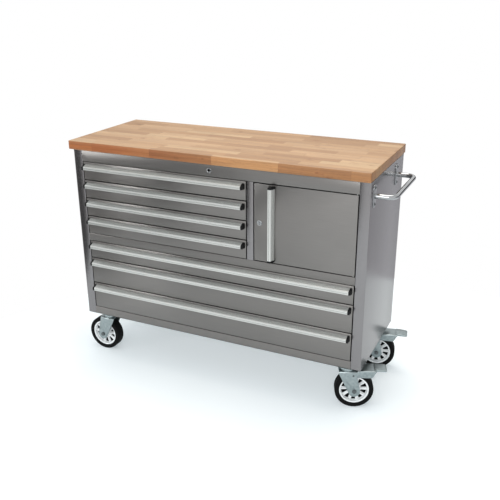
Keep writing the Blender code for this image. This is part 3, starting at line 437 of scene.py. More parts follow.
# %% Make the rubber and the plastic
def moulded(name, dark, light, cloud, gloss, grain, depth):
    """A moulded black: dust in clouds, over a fine mould texture."""
    made, tree, shader, place = finish(name, Roughness=0.6, Specular_IOR_Level=0.12)
    clouds = node(tree, "TexNoise", {"Vector": place, "Scale": 1 / cloud, "Detail": 5.0})
    cells = node(tree, "TexVoronoi", {"Vector": place, "Scale": 1 / grain}, take="Distance")
    tints = {6: linear(dark), 7: linear(light)}
    colour = node(tree, "Mix", {0: clouds, **tints}, data_type="RGBA", take=2)
    rough = node(tree, "MapRange", {"Value": clouds, 3: gloss[0], 4: gloss[1]})
    bump = node(tree, "Bump", {"Height": cells, "Strength": 0.4, "Distance": depth})
    feed(tree, shader, Base_Color=colour, Roughness=rough, Normal=bump)
    return made


rubber = moulded("moulded_black_rubber", "#030303", "#0c0c0d", 12 * MM, (0.6, 0.85), 1.6 * MM, 0.1 * MM)
nylon = moulded("grained_black_nylon", "#0e0e0f", "#1b1b1c", 6 * MM, (0.35, 0.5), 0.9 * MM, 0.05 * MM)
print("made", rubber.name, "and", nylon.name)

# %% [markdown]
# ### Oiled butcher block
# The top is glued up from beech staves about 38 mm wide and 250 to 400 mm long. Each stave comes
# from another board, so its tint changes at every joint while its grain runs on along X. The joints
# show as thin dark lines. Oil makes the wood warm and gives it a low sheen. The edges are tinted
# darker and more orange than the top, partly as the oil's colour and partly as painted shade, and
# more so towards the end away from the handle.

# %% Number the staves
wood, tree, shader, place = finish("oiled_beech_butcher_block", Roughness=0.42)
STAVE_WIDTH, STAVE_LENGTH, JOINT = 38 * MM, 300 * MM, 0.9 * MM
axes = node(tree, "SeparateXYZ", {0: place}, take=None)
from_edge = node(tree, "Math", {0: axes["Y"], 1: 2.0}, operation="ADD")
across = node(tree, "Math", {0: from_edge, 1: STAVE_WIDTH}, operation="DIVIDE")
row = node(tree, "Math", {0: across}, operation="FLOOR")
row_chance = node(tree, "TexWhiteNoise", {"W": row}, noise_dimensions="1D", take="Value")
lengths = {0: row_chance, 1: 120 * MM, 2: STAVE_LENGTH - 60 * MM}
pitch = node(tree, "Math", lengths, operation="MULTIPLY_ADD")
pitches = node(tree, "Math", {0: axes["X"], 1: pitch}, operation="DIVIDE")
stagger = node(tree, "Math", {0: row_chance, 1: 37.0}, operation="MULTIPLY")
along = node(tree, "Math", {0: pitches, 1: stagger}, operation="ADD")
stave = node(tree, "Math", {0: along}, operation="FLOOR")
number = node(tree, "CombineXYZ", {0: row, 1: stave})
chance = node(tree, "TexWhiteNoise", {0: number}, noise_dimensions="2D", take=None)
print("staves are", STAVE_WIDTH / MM, "mm wide and about", STAVE_LENGTH / MM, "mm long")

# %% Tint each stave, and draw its grain and joints
shift = node(tree, "VectorMath", {0: chance["Color"], 1: (3, 3, 3)}, operation="MULTIPLY")
grain_place = node(tree, "VectorMath", {0: place, 1: shift}, operation="ADD")
long_grain = node(tree, "Mapping", {"Vector": grain_place, "Scale": (5, 150, 150)})
wavy = {"Scale": 1.0, "Detail": 4.0, "Distortion": 0.6}
grain = node(tree, "TexNoise", {"Vector": long_grain, **wavy})
pore_place = node(tree, "Mapping", {"Vector": grain_place, "Scale": (70, 900, 900)})
pores = node(tree, "TexNoise", {"Vector": pore_place, "Scale": 1.0, "Detail": 1.0})
tint = node(tree, "ValToRGB", {0: chance["Value"]})
tint.node.color_ramp.elements[0].color = linear("#a67d56")
tint.node.color_ramp.elements[1].color = linear("#c8a57c")
for position, code in ((0.3, "#b1885f"), (0.6, "#ba9269"), (0.85, "#c19a72")):
    tint.node.color_ramp.elements.new(position).color = linear(code)
grain_shade = node(tree, "MapRange", {"Value": grain, 1: 0.3, 2: 0.7, 3: 0.64, 4: 0.94})
blotch_place = node(tree, "Mapping", {"Vector": grain_place, "Scale": (14, 55, 55)})
ragged = {"Scale": 1.0, "Detail": 5.0, "Roughness": 0.7}
blotches = node(tree, "TexNoise", {"Vector": blotch_place, **ragged})
knots = node(tree, "MapRange", {"Value": blotches, 1: 0.6, 2: 0.7})
pore_shade = node(tree, "MapRange", {"Value": pores, 1: 0.28, 2: 0.42, 3: 0.8, 4: 1.0})


def joint_line(count, width):
    """0 on the line between two staves and 1 away from it; width is a share of a stave."""
    near = node(tree, "Math", {0: count, 1: 0.5}, operation="PINGPONG")
    widths = node(tree, "Math", {0: near, 1: width}, operation="DIVIDE")
    return node(tree, "Math", {0: widths, 1: 1.0, 2: 0.2}, operation="SMOOTH_MIN")


long_joint, end_joint = joint_line(across, JOINT / STAVE_WIDTH), joint_line(along, JOINT / STAVE_LENGTH)
joints = node(tree, "Math", {0: long_joint, 1: end_joint}, operation="MULTIPLY")
joint_shade = node(tree, "MapRange", {"Value": joints, 3: 0.62, 4: 1.0})
grained = node(tree, "Math", {0: grain_shade, 1: pore_shade}, operation="MULTIPLY")
shade = node(tree, "Math", {0: grained, 1: joint_shade}, operation="MULTIPLY")
tinted = {0: tint, "Scale": shade}
wood_colour = node(tree, "VectorMath", tinted, operation="SCALE")
darkened = {0: wood_colour, 1: (0.62, 0.5, 0.42)}
knotted = node(tree, "VectorMath", darkened, operation="MULTIPLY")
wood_colour = node(tree, "Mix", {0: knots, 6: wood_colour, 7: knotted}, data_type="RGBA", take=2)
rough = node(tree, "MapRange", {"Value": grain, 3: 0.36, 4: 0.52})
bump = node(tree, "Bump", {"Height": shade, "Strength": 0.25, "Distance": 0.15 * MM})

# %% Tint the edges with oil colour and painted shade
# painted shade and oil colour: faces that aren't level are tinted darker and more orange, most towards -X
facing = node(tree, "SeparateXYZ", {0: node(tree, "NewGeometry", take="Normal")}, take=None)
upward = node(tree, "Math", {0: facing["Z"]}, operation="ABSOLUTE")
far_end = node(tree, "MapRange", {"Value": axes["X"], 1: -0.45, 2: 0.1})
edge_colours = {6: linear("#dc9c63"), 7: linear("#ffe6c6")}
edge_tint = node(tree, "Mix", {0: far_end, **edge_colours}, data_type="RGBA", take=2)
oiled = node(tree, "Mix", {0: upward, 6: edge_tint, 7: (1, 1, 1, 1)}, data_type="RGBA", take=2)
wood_colour = node(tree, "VectorMath", {0: wood_colour, 1: oiled}, operation="MULTIPLY")
feed(tree, shader, Base_Color=wood_colour, Roughness=rough, Normal=bump)
print("made", wood.name)

# %% [markdown]
# ## The worktop
# One thick slab, 1219 mm wide, with its edges eased by a small round-over so that they don't
# splinter. A cube of the right size has its edges bevelled; the staves are in its finish.

# %% Ease a slab
worktop = block("butcher_block_top", top_low, top_high)
round_edges(worktop, 2.5 * MM, lambda edge: True, segments=4)
put_on(worktop, "worktop", wood, ["worktop"])
print("the top is", round((top_high.z - top_low.z) / MM), "mm thick")

# %% [markdown]
# ## Folded sheet
# The cabinet's panels, drawers and door are sheet, folded on a press brake. A fold isn't sharp: its
# outside is about 1.8 mm round and its inside about 0.6 mm. Each panel is a copy of its CAD solid,
# whose triangles are merged into flats before the folds are bevelled. The sheet's own narrow edges
# are told from folds by the thickness of the faces beside them.

# %% Round the folds of a copied solid
def mean_width(face):
    return 2 * face.calc_area() / face.calc_perimeter()


def is_fold(edge, convex):
    if len(edge.link_faces) != 2 or edge.calc_length() < 9 * MM:
        return False
    angle = edge.calc_face_angle_signed()
    if min(mean_width(face) for face in edge.link_faces) < 1.9 * MM:
        return False
    return abs(abs(angle) - math.pi / 2) < 0.5 and (angle > 0) == convex


def softened(source, name, outside=1.8 * MM, inside=0.6 * MM):
    """A copy of a CAD solid with its flats merged and its folds rounded."""
    piece = bpy.data.objects.new(name, frame["nodes"][source].data.copy())
    bpy.context.scene.collection.objects.link(piece)
    begin(piece)
    bpy.ops.mesh.customdata_custom_splitnormals_clear()
    edit(piece)
    bpy.ops.mesh.remove_doubles(threshold=0.00002)
    bpy.ops.mesh.dissolve_limited(angle_limit=math.radians(0.5))
    round_edges(piece, outside, lambda edge: is_fold(edge, True))
    round_edges(piece, inside, lambda edge: is_fold(edge, False), segments=2)
    return piece


# %% Make the cabinet's panels
for source, finish_here in (
    ("left_side", steel_upright),
    ("right_side", steel_upright),
    ("back_panel", steel_along),
    ("centre_divider", steel_upright),
    ("base_pan", steel_along),
    ("top_rail", steel_along),
    ("middle_rail", steel_along),
    ("cupboard_floor", steel_along),
):
    put_on(softened(source, source + "_sheet"), source, finish_here, [source])
for source in ("small_rack_left", "small_rack_right", "wide_rack_left", "wide_rack_right"):
    put_on(softened(source, source + "_runners"), source, zinc, [source])

# %% Make the drawers and the door
drawers = [f"small_drawer_{index}" for index in (1, 2, 3, 4)]
drawers += [f"wide_drawer_{index}" for index in (1, 2, 3)]
for source in drawers + ["door_panel"]:
    put_on(softened(source, source + "_sheet"), source, steel_along, [source])
print("made", len(drawers), "drawers and a door")

# %% [markdown]
# ## The pulls
# Each drawer has a full-width pull cut from one aluminium extrusion: a flat back, a sloping top with
# fine grooves and a lip to hook the fingers behind. Black caps close its ends. The section is drawn
# once, corner by corner, and extruded; the same section stands upright on the door.

# %% Draw the section with its grooves
PULL_DEPTH, PULL_HEIGHT, PULL_WALL = 21, 22, 2
CAP = 8 * MM


def grooved(start, end, count, width, depth):
    """Points from start to end with small grooves cut in to the right of the way."""
    start, end = Vector(start), Vector(end)
    way = (end - start).normalized()
    side = Vector((-way.y, way.x))
    yield start
    for index in range(count):
        middle = start.lerp(end, (index + 1) / (count + 1))
        for step, deep in ((-0.5, 0), (-0.3, 1), (0.3, 1), (0.5, 0)):
            yield middle + way * width * step + side * depth * deep
    yield end


def pull_section():
    """(out from the front, down from the top) round the hook, in millimetres."""
    slope = list(grooved((4, 0), (PULL_DEPTH - 1, 7.6), 2, 2.4, 1.2))
    lip = list(grooved((PULL_DEPTH, 9), (PULL_DEPTH, 19.2), 1, 2.2, 1.1))
    inner = [(20.2, 20), (19.4, 20), (19, 19.5), (19, 9.6)]
    web = [(18, 9), (3, 3.9), (PULL_WALL, 4.6)]
    foot = [(PULL_WALL, PULL_HEIGHT), (0, PULL_HEIGHT)]
    return [Vector((0, 0))] + slope + lip + [Vector(point) for point in inner + web + foot]


print("the pull's section has", len(pull_section()), "corners")

# %% Extrude a pull and its caps
def make_pull(name, half, at, upright, node_name, metal):
    """One pull with its end caps; at is the middle of its back's top edge."""

    def placed(point, along):
        out, down = point[0] * MM, point[1] * MM
        spot = (-down, -out, along) if upright else (along, -out, -down)
        return Vector(at) + Vector(spot)

    way = Vector((0, 0, 1)) if upright else Vector((1, 0, 0))
    length = half - CAP
    bar = prism(name + "_bar", [placed(point, -length) for point in pull_section()], way * 2 * length)
    put_on(bar, node_name, metal, [node_name])
    cap_section = [
        (0, 0), (4, 0), (PULL_DEPTH - 2, 6.8), (PULL_DEPTH, 9),
        (PULL_DEPTH, 20), (14, 20), (13.4, 15.5), (12, 14),
        (9, 14), (7.4, 15.5), (7, PULL_HEIGHT), (0, PULL_HEIGHT),
    ]
    for side, label in ((-1, "low"), (1, "high")):
        first = placed((0, 0), side * length) - placed((0, 0), 0)
        corners = [placed(point, 0) + first for point in cap_section]
        cap = prism(f"{name}_cap_{label}", corners, way * side * CAP)
        ease_all(cap, 0.7 * MM, 2, 60)
        put_on(cap, node_name, nylon)


for drawer in drawers:
    pull_node = drawer.replace("drawer", "pull")
    low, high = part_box(pull_node)
    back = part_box(drawer)[0].y - 0.5 * MM
    at = ((low.x + high.x) / 2, back, high.z - 0.2 * MM)
    make_pull(pull_node, (high.x - low.x) / 2 - 0.2 * MM, at, False, pull_node, anodised_along)
low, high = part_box("door_pull")
at = (high.x - 0.2 * MM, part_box("door_panel")[0].y - 0.5 * MM, (low.z + high.z) / 2)
make_pull("door_pull", (high.z - low.z) / 2 - 0.2 * MM, at, True, "door_pull", anodised_upright)
print("made", len(drawers) + 1, "pulls")

# %% [markdown]
# ## The locks
# Two cam locks, one in the top rail and one in the door: a chromed barrel whose flange hides the
# hole, and in it a plug with a keyhole that turns the cam behind. A section is spun about the
# lock's axis, and a thin block cuts the keyhole.

# %% Spin the barrels and plugs
def make_lock(name):
    barrel_low, barrel_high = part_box(name + "_barrel")
    plug_low, plug_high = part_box(name + "_plug")
    x, z = (barrel_low.x + barrel_high.x) / 2, (barrel_low.z + barrel_high.z) / 2
    front, tail = barrel_low.y, barrel_high.y

    def around(points):
        return [(x + radius, front + depth, z) for radius, depth in points]

    section = [
        (6.4 * MM, 1.2 * MM), (6.7 * MM, 0.3 * MM), (7.4 * MM, 0), (9.4 * MM, 0.1 * MM),
        (10.2 * MM, 0.7 * MM), (10.4 * MM, 1.7 * MM), (9 * MM, 1.75 * MM), (9 * MM, tail - front),
        (6.4 * MM, tail - front),
    ]
    barrel = turned(name + "_barrel_chromed", around(section), (x, front, z), (0, 1, 0), 40)
    put_on(barrel, name + "_barrel", chrome, [name + "_barrel"])
    face, stem = 0.5 * MM, plug_high.y - front - 2.2 * MM
    plug_section = [(0, face), (4.7 * MM, face), (5.2 * MM, face + 1.4 * MM), (5.9 * MM, face + 1.5 * MM)]
    plug_section += [(5.9 * MM, stem), (0, stem)]
    plug = turned(name + "_plug_core", around(plug_section), (x, front, z), (0, 1, 0), 32, closed=False)
    slot_low = (x - 1.1 * MM, front - 2 * MM, z - 3.7 * MM)
    combine(plug, block("keyhole", slot_low, (x + 1.1 * MM, front + 8 * MM, z + 3.7 * MM)))
    put_on(plug, name + "_plug", chrome, [name + "_plug"])
    cam_low = (x - 6 * MM, plug_high.y - 2 * MM, z - 34 * MM)
    cam = block(name + "_cam", cam_low, (x + 6 * MM, plug_high.y, z + 6 * MM))
    round_edges(cam, 4 * MM, lambda edge: runs_along(edge, "Y"), 4)
    ease_all(cam, 0.3 * MM, 1)
    put_on(cam, name + "_plug", bright_zinc)
    nut_low = front + 4.2 * MM
    nut = rod(name + "_nut", 12 * MM, (x, nut_low, z), (x, nut_low + 4 * MM, z), 6)
    combine(nut, rod("nut_bore", 9.2 * MM, (x, nut_low - 9 * MM, z), (x, nut_low + 9 * MM, z), 32))
    ease_all(nut, 0.5 * MM, 2)
    put_on(nut, name + "_barrel", bright_zinc)


for lock in ("top_lock", "door_lock"):
    make_lock(lock)
print("made two locks")

# %% [markdown]
# ## The push handle
# A chromed steel tube, bent twice, with a foot in each of two oval flanges screwed to the side. A
# circle is extruded straight and spun round the bends, which is how the real tube is made on a
# bender.

# %% Bend the tube
tube_low, tube_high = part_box("push_handle")
TUBE = (tube_high.z - tube_low.z) / 2
BEND = 34 * MM
tube_z = (tube_low.z + tube_high.z) / 2
bar_x, front_y, back_y = tube_high.x - TUBE, tube_low.y + TUBE, tube_high.y - TUBE
begin()
bpy.ops.mesh.primitive_circle_add(
    vertices=36, radius=TUBE, location=(tube_low.x, front_y, tube_z), rotation=(0, math.pi / 2, 0)
)
tube = claim("push_handle_tube")
edit(tube)
bpy.ops.mesh.extrude_region_move(TRANSFORM_OT_translate={"value": (bar_x - BEND - tube_low.x, 0, 0)})
bpy.ops.mesh.spin(steps=14, angle=-math.pi / 2, center=(bar_x - BEND, front_y + BEND, tube_z), axis=(0, 0, 1))
bpy.ops.mesh.extrude_region_move(TRANSFORM_OT_translate={"value": (0, back_y - front_y - 2 * BEND, 0)})
bpy.ops.mesh.spin(steps=14, angle=-math.pi / 2, center=(bar_x - BEND, back_y - BEND, tube_z), axis=(0, 0, 1))
bpy.ops.mesh.extrude_region_move(TRANSFORM_OT_translate={"value": (tube_low.x - bar_x + BEND, 0, 0)})
pick("EDGE", lambda edge: len(edge.link_faces) == 1)
bpy.ops.mesh.edge_face_add()
bpy.ops.mesh.select_all(action="SELECT")
bpy.ops.mesh.remove_doubles(threshold=0.00001)
bpy.ops.mesh.normals_make_consistent(inside=False)
put_on(tube, "push_handle", chrome, ["push_handle"])
print("the tube has", len(tube.data.polygons), "faces")

# %% Stamp the flanges and drive their screws
def arc(centre, radius, first, last, count):
    for index in range(count + 1):
        angle = math.radians(first + (last - first) * index / count)
        yield centre[0] + radius * math.cos(angle), centre[1] + radius * math.sin(angle)


def screw(name, at, radius, height):
    """A cross-slot pan head that faces +X."""
    x, y, z = at
    section = [(x, y, z), (x, y + radius, z), (x + height * 0.45, y + radius * 0.97, z)]
    section += [(x + height * 0.8, y + radius * 0.72, z), (x + height, y + radius * 0.35, z)]
    section.append((x + height, y, z))
    head = turned(name, section, at, (1, 0, 0), 24, closed=False)
    for half_y, half_z in ((radius * 0.62, radius * 0.13), (radius * 0.13, radius * 0.62)):
        slot_low = (x + height * 0.35, y - half_y, z - half_z)
        combine(head, block("cross_slot", slot_low, (x + 2 * height, y + half_y, z + half_z)))
    return head


for label, y in (("front", front_y), ("rear", back_y)):
    node_name = "handle_flange_" + label
    low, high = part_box(node_name)
    radius, thick = (high.y - low.y) / 2, 3 * MM
    rise = (high.z - low.z) / 2 - radius
    points = list(arc((y, tube_z + rise), radius, 0, 180, 14))
    points += list(arc((y, tube_z - rise), radius, 180, 360, 14))
    flange = prism(node_name + "_plate", [(low.x, *point) for point in points], (thick, 0, 0))
    face = low.x + thick
    round_edges(flange, 1.4 * MM, lambda edge: all(corner.co.x > face - 0.1 * MM for corner in edge.verts), 3)
    bore = (TUBE + 0.4 * MM, (low.x - thick, y, tube_z), (low.x + 3 * thick, y, tube_z))
    combine(flange, rod("flange_bore", *bore, 36))
    put_on(flange, node_name, satin_chrome, [node_name])
    for side, tag in ((-1, "low"), (1, "high")):
        at = (face - 0.4 * MM, y, tube_z + side * 29 * MM)
        head = screw(f"{node_name}_screw_{tag}", at, 5.2 * MM, 2.9 * MM)
        put_on(head, node_name, dull_zinc)
print("fixed two flanges with four screws")

# %% [markdown]
# ## The casters
# Four swivel casters: a top plate bolted under the cabinet, a pressed fork that turns on a double
# ball race, and a cast wheel with ten spokes and a rubber tyre. All is modelled once about the
# kingpin, with the wheel trailing towards +X, and then copied and turned for each corner.

# %% The caster's sizes
TRAIL, WHEEL, WHEEL_WIDTH = 28 * MM, 73.5 * MM, 42 * MM
RIM, HUB, HUB_WIDTH = 56.5 * MM, 21 * MM, 46 * MM
LEG_OUT, FORK_SHEET, CROWN_TOP, RACE_TOP = 28 * MM, 3 * MM, 156 * MM, 169 * MM
PLATE_TOP, PLATE = 189.7 * MM, 3 * MM
TURNS = {"front_left": 180, "front_right": 22, "back_left": 150, "back_right": 12}
axle_at = Vector((TRAIL, 0, WHEEL))
places = {}
for corner in TURNS:
    low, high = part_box("caster_plate_" + corner)
    places[corner] = Vector(((low.x + high.x) / 2, (low.y + high.y) / 2, 0))
for corner, place in places.items():
    print("caster", corner, "stands at", [round(value, 3) for value in place[:2]])


def at_corners(master, label, holder, metal, replace, corners=tuple(TURNS), turned_with=True):
    """Copies a master to its corners and uses it up."""
    for corner in corners:
        turn = math.radians(TURNS[corner]) if turned_with else 0.0
        piece = copied(master, f"{label}_{corner}", places[corner], turn)
        put_on(piece, f"{holder}_{corner}", metal, [f"{holder}_{corner}"] if replace else ())
    bpy.data.objects.remove(master)


# %% Mould the tyre
def about_axle(name, points, steps):
    """A section of (radius, distance along the axle), spun about the axle."""
    section = [axle_at + Vector((radius, along, 0)) for radius, along in points]
    return turned(name, section, axle_at, (0, 1, 0), steps)


half = WHEEL_WIDTH / 2
shoulder = list(arc((WHEEL - 5 * MM, half - 5 * MM), 5 * MM, 90, 0, 5))
upper = [(RIM + 0.3 * MM, half - 4 * MM), (RIM + 0.5 * MM, half - 1.5 * MM), (RIM + 2 * MM, half - 0.4 * MM)]
upper += [(WHEEL - 9 * MM, half - 0.2 * MM)] + shoulder + [(WHEEL, 0)]
lower = [(radius, -along) for radius, along in reversed(upper[:-1])]
tyre = about_axle("tyre_master", upper + lower, 72)
print("the tyre has", len(tyre.data.polygons), "faces")
at_corners(tyre, "rubber_tyre", "tyre", rubber, True)

# %% Cast the rim: ring, web with windows, ribs and hub
lip = [(50.2 * MM, 15.5 * MM), (50.9 * MM, 17.2 * MM), (52 * MM, 17.5 * MM)]
lip += [(55.6 * MM, 17.5 * MM), (RIM, 16.6 * MM)]
ring_points = lip + [(radius, -along) for radius, along in reversed(lip)]
ring_points += [(50 * MM, -6 * MM), (50 * MM, 6 * MM)]
rim = about_axle("rim_master", ring_points, 60)
web_half = 5 * MM
web_points = [(15 * MM, -web_half), (51 * MM, -web_half), (51 * MM, web_half), (15 * MM, web_half)]
web = about_axle("web", web_points, 60)
window = [axle_at + Vector((x, -20 * MM, z)) for x, z in arc((0, 0), 48.2 * MM, -79.5, -100.5, 6)]
window += [axle_at + Vector((x, -20 * MM, z)) for x, z in arc((0, 0), 26.5 * MM, -97, -83, 3)]
windows = prism("windows", window, (0, 40 * MM, 0))
round_edges(windows, 2.2 * MM, lambda edge: runs_along(edge, "Y") and edge.calc_face_angle() > 0.6, 3)
edit(windows)
bpy.ops.mesh.spin(steps=10, angle=2 * math.pi, center=axle_at, axis=(0, 1, 0), dupli=True)
begin(windows)
print("the cutter has", len(windows.data.polygons), "faces for ten windows")

# %% Join the wheel and cut it
edit(windows)
bpy.ops.mesh.remove_doubles(threshold=0.00001)
bpy.ops.mesh.normals_make_consistent(inside=False)
combine(web, windows)
spoke = math.radians(-72)
rib_low, rib_high = Vector((18 * MM, -8.5 * MM, -2.2 * MM)), Vector((51 * MM, 8.5 * MM, 2.2 * MM))
rib = block("rib", axle_at + rib_low, axle_at + rib_high)
round_edges(rib, 1.6 * MM, lambda edge: runs_along(edge, "X"), 3)
edit(rib)
bpy.ops.transform.rotate(value=spoke, orient_axis="Y", center_override=axle_at)
bpy.ops.mesh.spin(steps=10, angle=2 * math.pi, center=axle_at, axis=(0, 1, 0), dupli=True)
bpy.ops.mesh.select_all(action="SELECT")
bpy.ops.mesh.remove_doubles(threshold=0.00001)
begin(rib)
hub_half = HUB_WIDTH / 2
hub_points = [(6.6 * MM, hub_half), (16 * MM, hub_half), (17 * MM, hub_half - 1 * MM), (18 * MM, 10 * MM)]
hub_points += [(20 * MM, 8.5 * MM), (HUB, 7 * MM)]
hub_points += [(radius, -along) for radius, along in reversed(hub_points)]
hub = about_axle("hub", hub_points, 48)
for part in (web, rib, hub):
    combine(rim, part, "UNION")
ease_all(rim, 0.6 * MM, 2, 50)
core_points = [(22 * MM, -2 * MM), (49.5 * MM, -2 * MM), (49.5 * MM, 2 * MM), (22 * MM, 2 * MM)]
core = about_axle("core", core_points, 48)
print("the rim has", len(rim.data.polygons), "faces")
at_corners(rim, "spoked_rim", "rim", alloy, True)
at_corners(core, "rubber_core", "rim", rubber, False)

# %% [markdown]
# ### Fork, races and axle
# The fork is one pressed piece: a strip folded over the wheel, trimmed to two tapering legs with
# round feet. So a folded strip is cut to the legs' side view. The lower race sits on its crown. The
# axle is a hexagon bolt with a washer and a nut.

# %% Press the fork
def tangent_angles(centre, radius, point):
    across = Vector(point) - Vector(centre)
    middle, half_angle = math.atan2(across.y, across.x), math.acos(radius / across.length)
    return math.degrees(middle - half_angle), math.degrees(middle + half_angle)


FOOT, TOP_HALF = 22 * MM, 33 * MM
strip_points = [(-45 * MM, -LEG_OUT, 40 * MM), (-45 * MM, -LEG_OUT, CROWN_TOP)]
strip_points += [(-45 * MM, LEG_OUT, CROWN_TOP), (-45 * MM, LEG_OUT, 40 * MM)]
fork = folded("fork_master", strip_points, (110 * MM, 0, 0), 5 * MM, FORK_SHEET, (0, 0, -1), 5)
foot_at = (TRAIL, WHEEL)
neck = CROWN_TOP - 6 * MM
last = tangent_angles(foot_at, FOOT, (-TOP_HALF, neck))[1]
first = tangent_angles(foot_at, FOOT, (TOP_HALF, neck))[0]
side_view = [(-TOP_HALF, CROWN_TOP + 9 * MM), (TOP_HALF, CROWN_TOP + 9 * MM), (TOP_HALF, neck)]
side_view += list(arc(foot_at, FOOT, first, last - 360, 20)) + [(-TOP_HALF, neck)]
die = prism("fork_die", [(x, -50 * MM, z) for x, z in side_view], (0, 100 * MM, 0))
combine(fork, die, "INTERSECT")
combine(fork, rod("axle_hole", 6.3 * MM, (TRAIL, -50 * MM, WHEEL), (TRAIL, 50 * MM, WHEEL)))
combine(fork, rod("kingpin_hole", 6.4 * MM, (0, 0, CROWN_TOP - 20 * MM), (0, 0, CROWN_TOP + 20 * MM)))
ease_all(fork, 0.7 * MM, 2, 50)
print("the fork has", len(fork.data.polygons), "faces")
at_corners(fork, "pressed_fork", "fork", zinc, True)

# %% Spin the races, plate and kingpin
def about_kingpin(name, points, steps=56, closed=True):
    """A section of (radius, height) in millimetres, spun about the kingpin."""
    section = [(radius * MM, 0, height * MM) for radius, height in points]
    return turned(name, section, (0, 0, 0), (0, 0, 1), steps, closed)


section = [(6.6, 155.6), (26, 155.6), (28, 157), (29.6, 160), (29.9, 166), (29, 168.2)]
race = about_kingpin("lower_race", section + [(26, 168.8), (6.6, 168.8)])
at_corners(race, "lower_race", "fork", zinc, False)
plate = block("plate_master", (-50 * MM, -42.5 * MM, PLATE_TOP - PLATE), (50 * MM, 42.5 * MM, PLATE_TOP))
round_edges(plate, 9 * MM, lambda edge: runs_along(edge, "Z"), 5)
ease_all(plate, 0.5 * MM, 2, 60)
at_corners(plate, "top_plate", "caster_plate", zinc, True, turned_with=False)
section = [(6, 170), (30, 170), (32.2, 171), (33, 173), (33, 178), (31, 181), (27, 183), (26, 186.8)]
race = about_kingpin("upper_race", section + [(6, 186.8)])
at_corners(race, "upper_race", "caster_plate", zinc, False, turned_with=False)
section = [(0, 149.8), (5, 149.8), (8, 150.4), (8.8, 151.4), (8.8, 152), (5.9, 152), (5.9, 171), (0, 171)]
pin = about_kingpin("kingpin", section, 24, closed=False)
at_corners(pin, "kingpin", "caster_plate", dull_zinc, False, turned_with=False)
print("made two races, a plate and a kingpin for each of", len(TURNS), "casters")

# %% Bolt the plates and fit the axles
def hexagon(name, radius, start, end, chamfer):
    """A hexagon head whose outer corners are turned off."""
    head = rod(name, radius, start, end, 6)
    outer = Vector(end)

    def at_end(edge):
        return all((corner.co - outer).length < 1.1 * radius for corner in edge.verts)

    return round_edges(head, chamfer, at_end, 2)


for corner, place in places.items():
    for x, y in ((-38, -31), (-38, 31), (38, -31), (38, 31)):
        spot = place + Vector((x * MM, y * MM, PLATE_TOP - PLATE))
        tag = ("l" if x < 0 else "r") + ("f" if y < 0 else "b")
        head = hexagon(f"plate_bolt_{corner}_{tag}", 6.2 * MM, spot, spot - Vector((0, 0, 4 * MM)), 0.9 * MM)
        put_on(head, "caster_plate_" + corner, dull_zinc)
face = LEG_OUT + 0.3 * MM
shank = Vector((0, face + 2 * MM, 0))
axle = rod("axle_master", 5.9 * MM, axle_at - shank, axle_at + shank)
for side in (-1, 1):
    out = Vector((0, side, 0))
    washer = rod("washer", 9.8 * MM, axle_at + out * face, axle_at + out * (face + 1.2 * MM), 32)
    ease_all(washer, 0.3 * MM, 1)
    combine(axle, washer, "UNION")
    start, end = axle_at + out * (face + 1.1 * MM), axle_at + out * (face + 5.9 * MM)
    combine(axle, hexagon("head", 8.8 * MM, start, end, 1.2 * MM), "UNION")
at_corners(axle, "axle_bolt", "axle", dull_zinc, True)
print("bolted four plates and fitted four axles")

# %% [markdown]
# ### Brake pedals
# The two right-hand casters have a brake: a stamped channel hung on the fork over the wheel, with a
# foot pad at its end and a shoe that presses on the tyre. The channel is a folded strip, trimmed by
# its side view like the fork, and the pad is a block curved down at its end.

# %% Stamp the pedal
BRAKED = ("front_right", "back_right")
PEDAL_OUT, PEDAL_SHEET, TREAD = 30.8 * MM, 2.5 * MM, 162.5 * MM
strip_points = [(5 * MM, -PEDAL_OUT, 120 * MM), (5 * MM, -PEDAL_OUT, TREAD)]
strip_points += [(5 * MM, PEDAL_OUT, TREAD), (5 * MM, PEDAL_OUT, 120 * MM)]
pedal = folded("pedal_master", strip_points, (105 * MM, 0, 0), 4.5 * MM, PEDAL_SHEET, (0, 0, -1), 5)
side_view = [(38 * MM, TREAD + 5 * MM), (109 * MM, TREAD + 5 * MM), (108 * MM, 158 * MM), (104 * MM, 154 * MM)]
side_view += [(95 * MM, 137 * MM), (90 * MM, 133 * MM)]
side_view += list(arc((22 * MM, 141 * MM), 8 * MM, -90, -225, 9)) + [(36 * MM, 158 * MM)]
die = prism("pedal_die", [(x, -50 * MM, z) for x, z in side_view], (0, 100 * MM, 0))
combine(pedal, die, "INTERSECT")
ease_all(pedal, 0.5 * MM, 2, 50)
at_corners(pedal, "stamped_pedal", "brake_pedal", zinc, True, BRAKED)
for side in (-1, 1):
    start = (22 * MM, side * 25.4 * MM, 141 * MM)
    rivet = rod("rivet", 3.9 * MM, start, (22 * MM, side * 32 * MM, 141 * MM), 24)
    ease_all(rivet, 0.5 * MM, 2)
    label = "pedal_rivet_" + ("near" if side < 0 else "far")
    at_corners(rivet, label, "brake_pedal", dull_zinc, False, BRAKED)

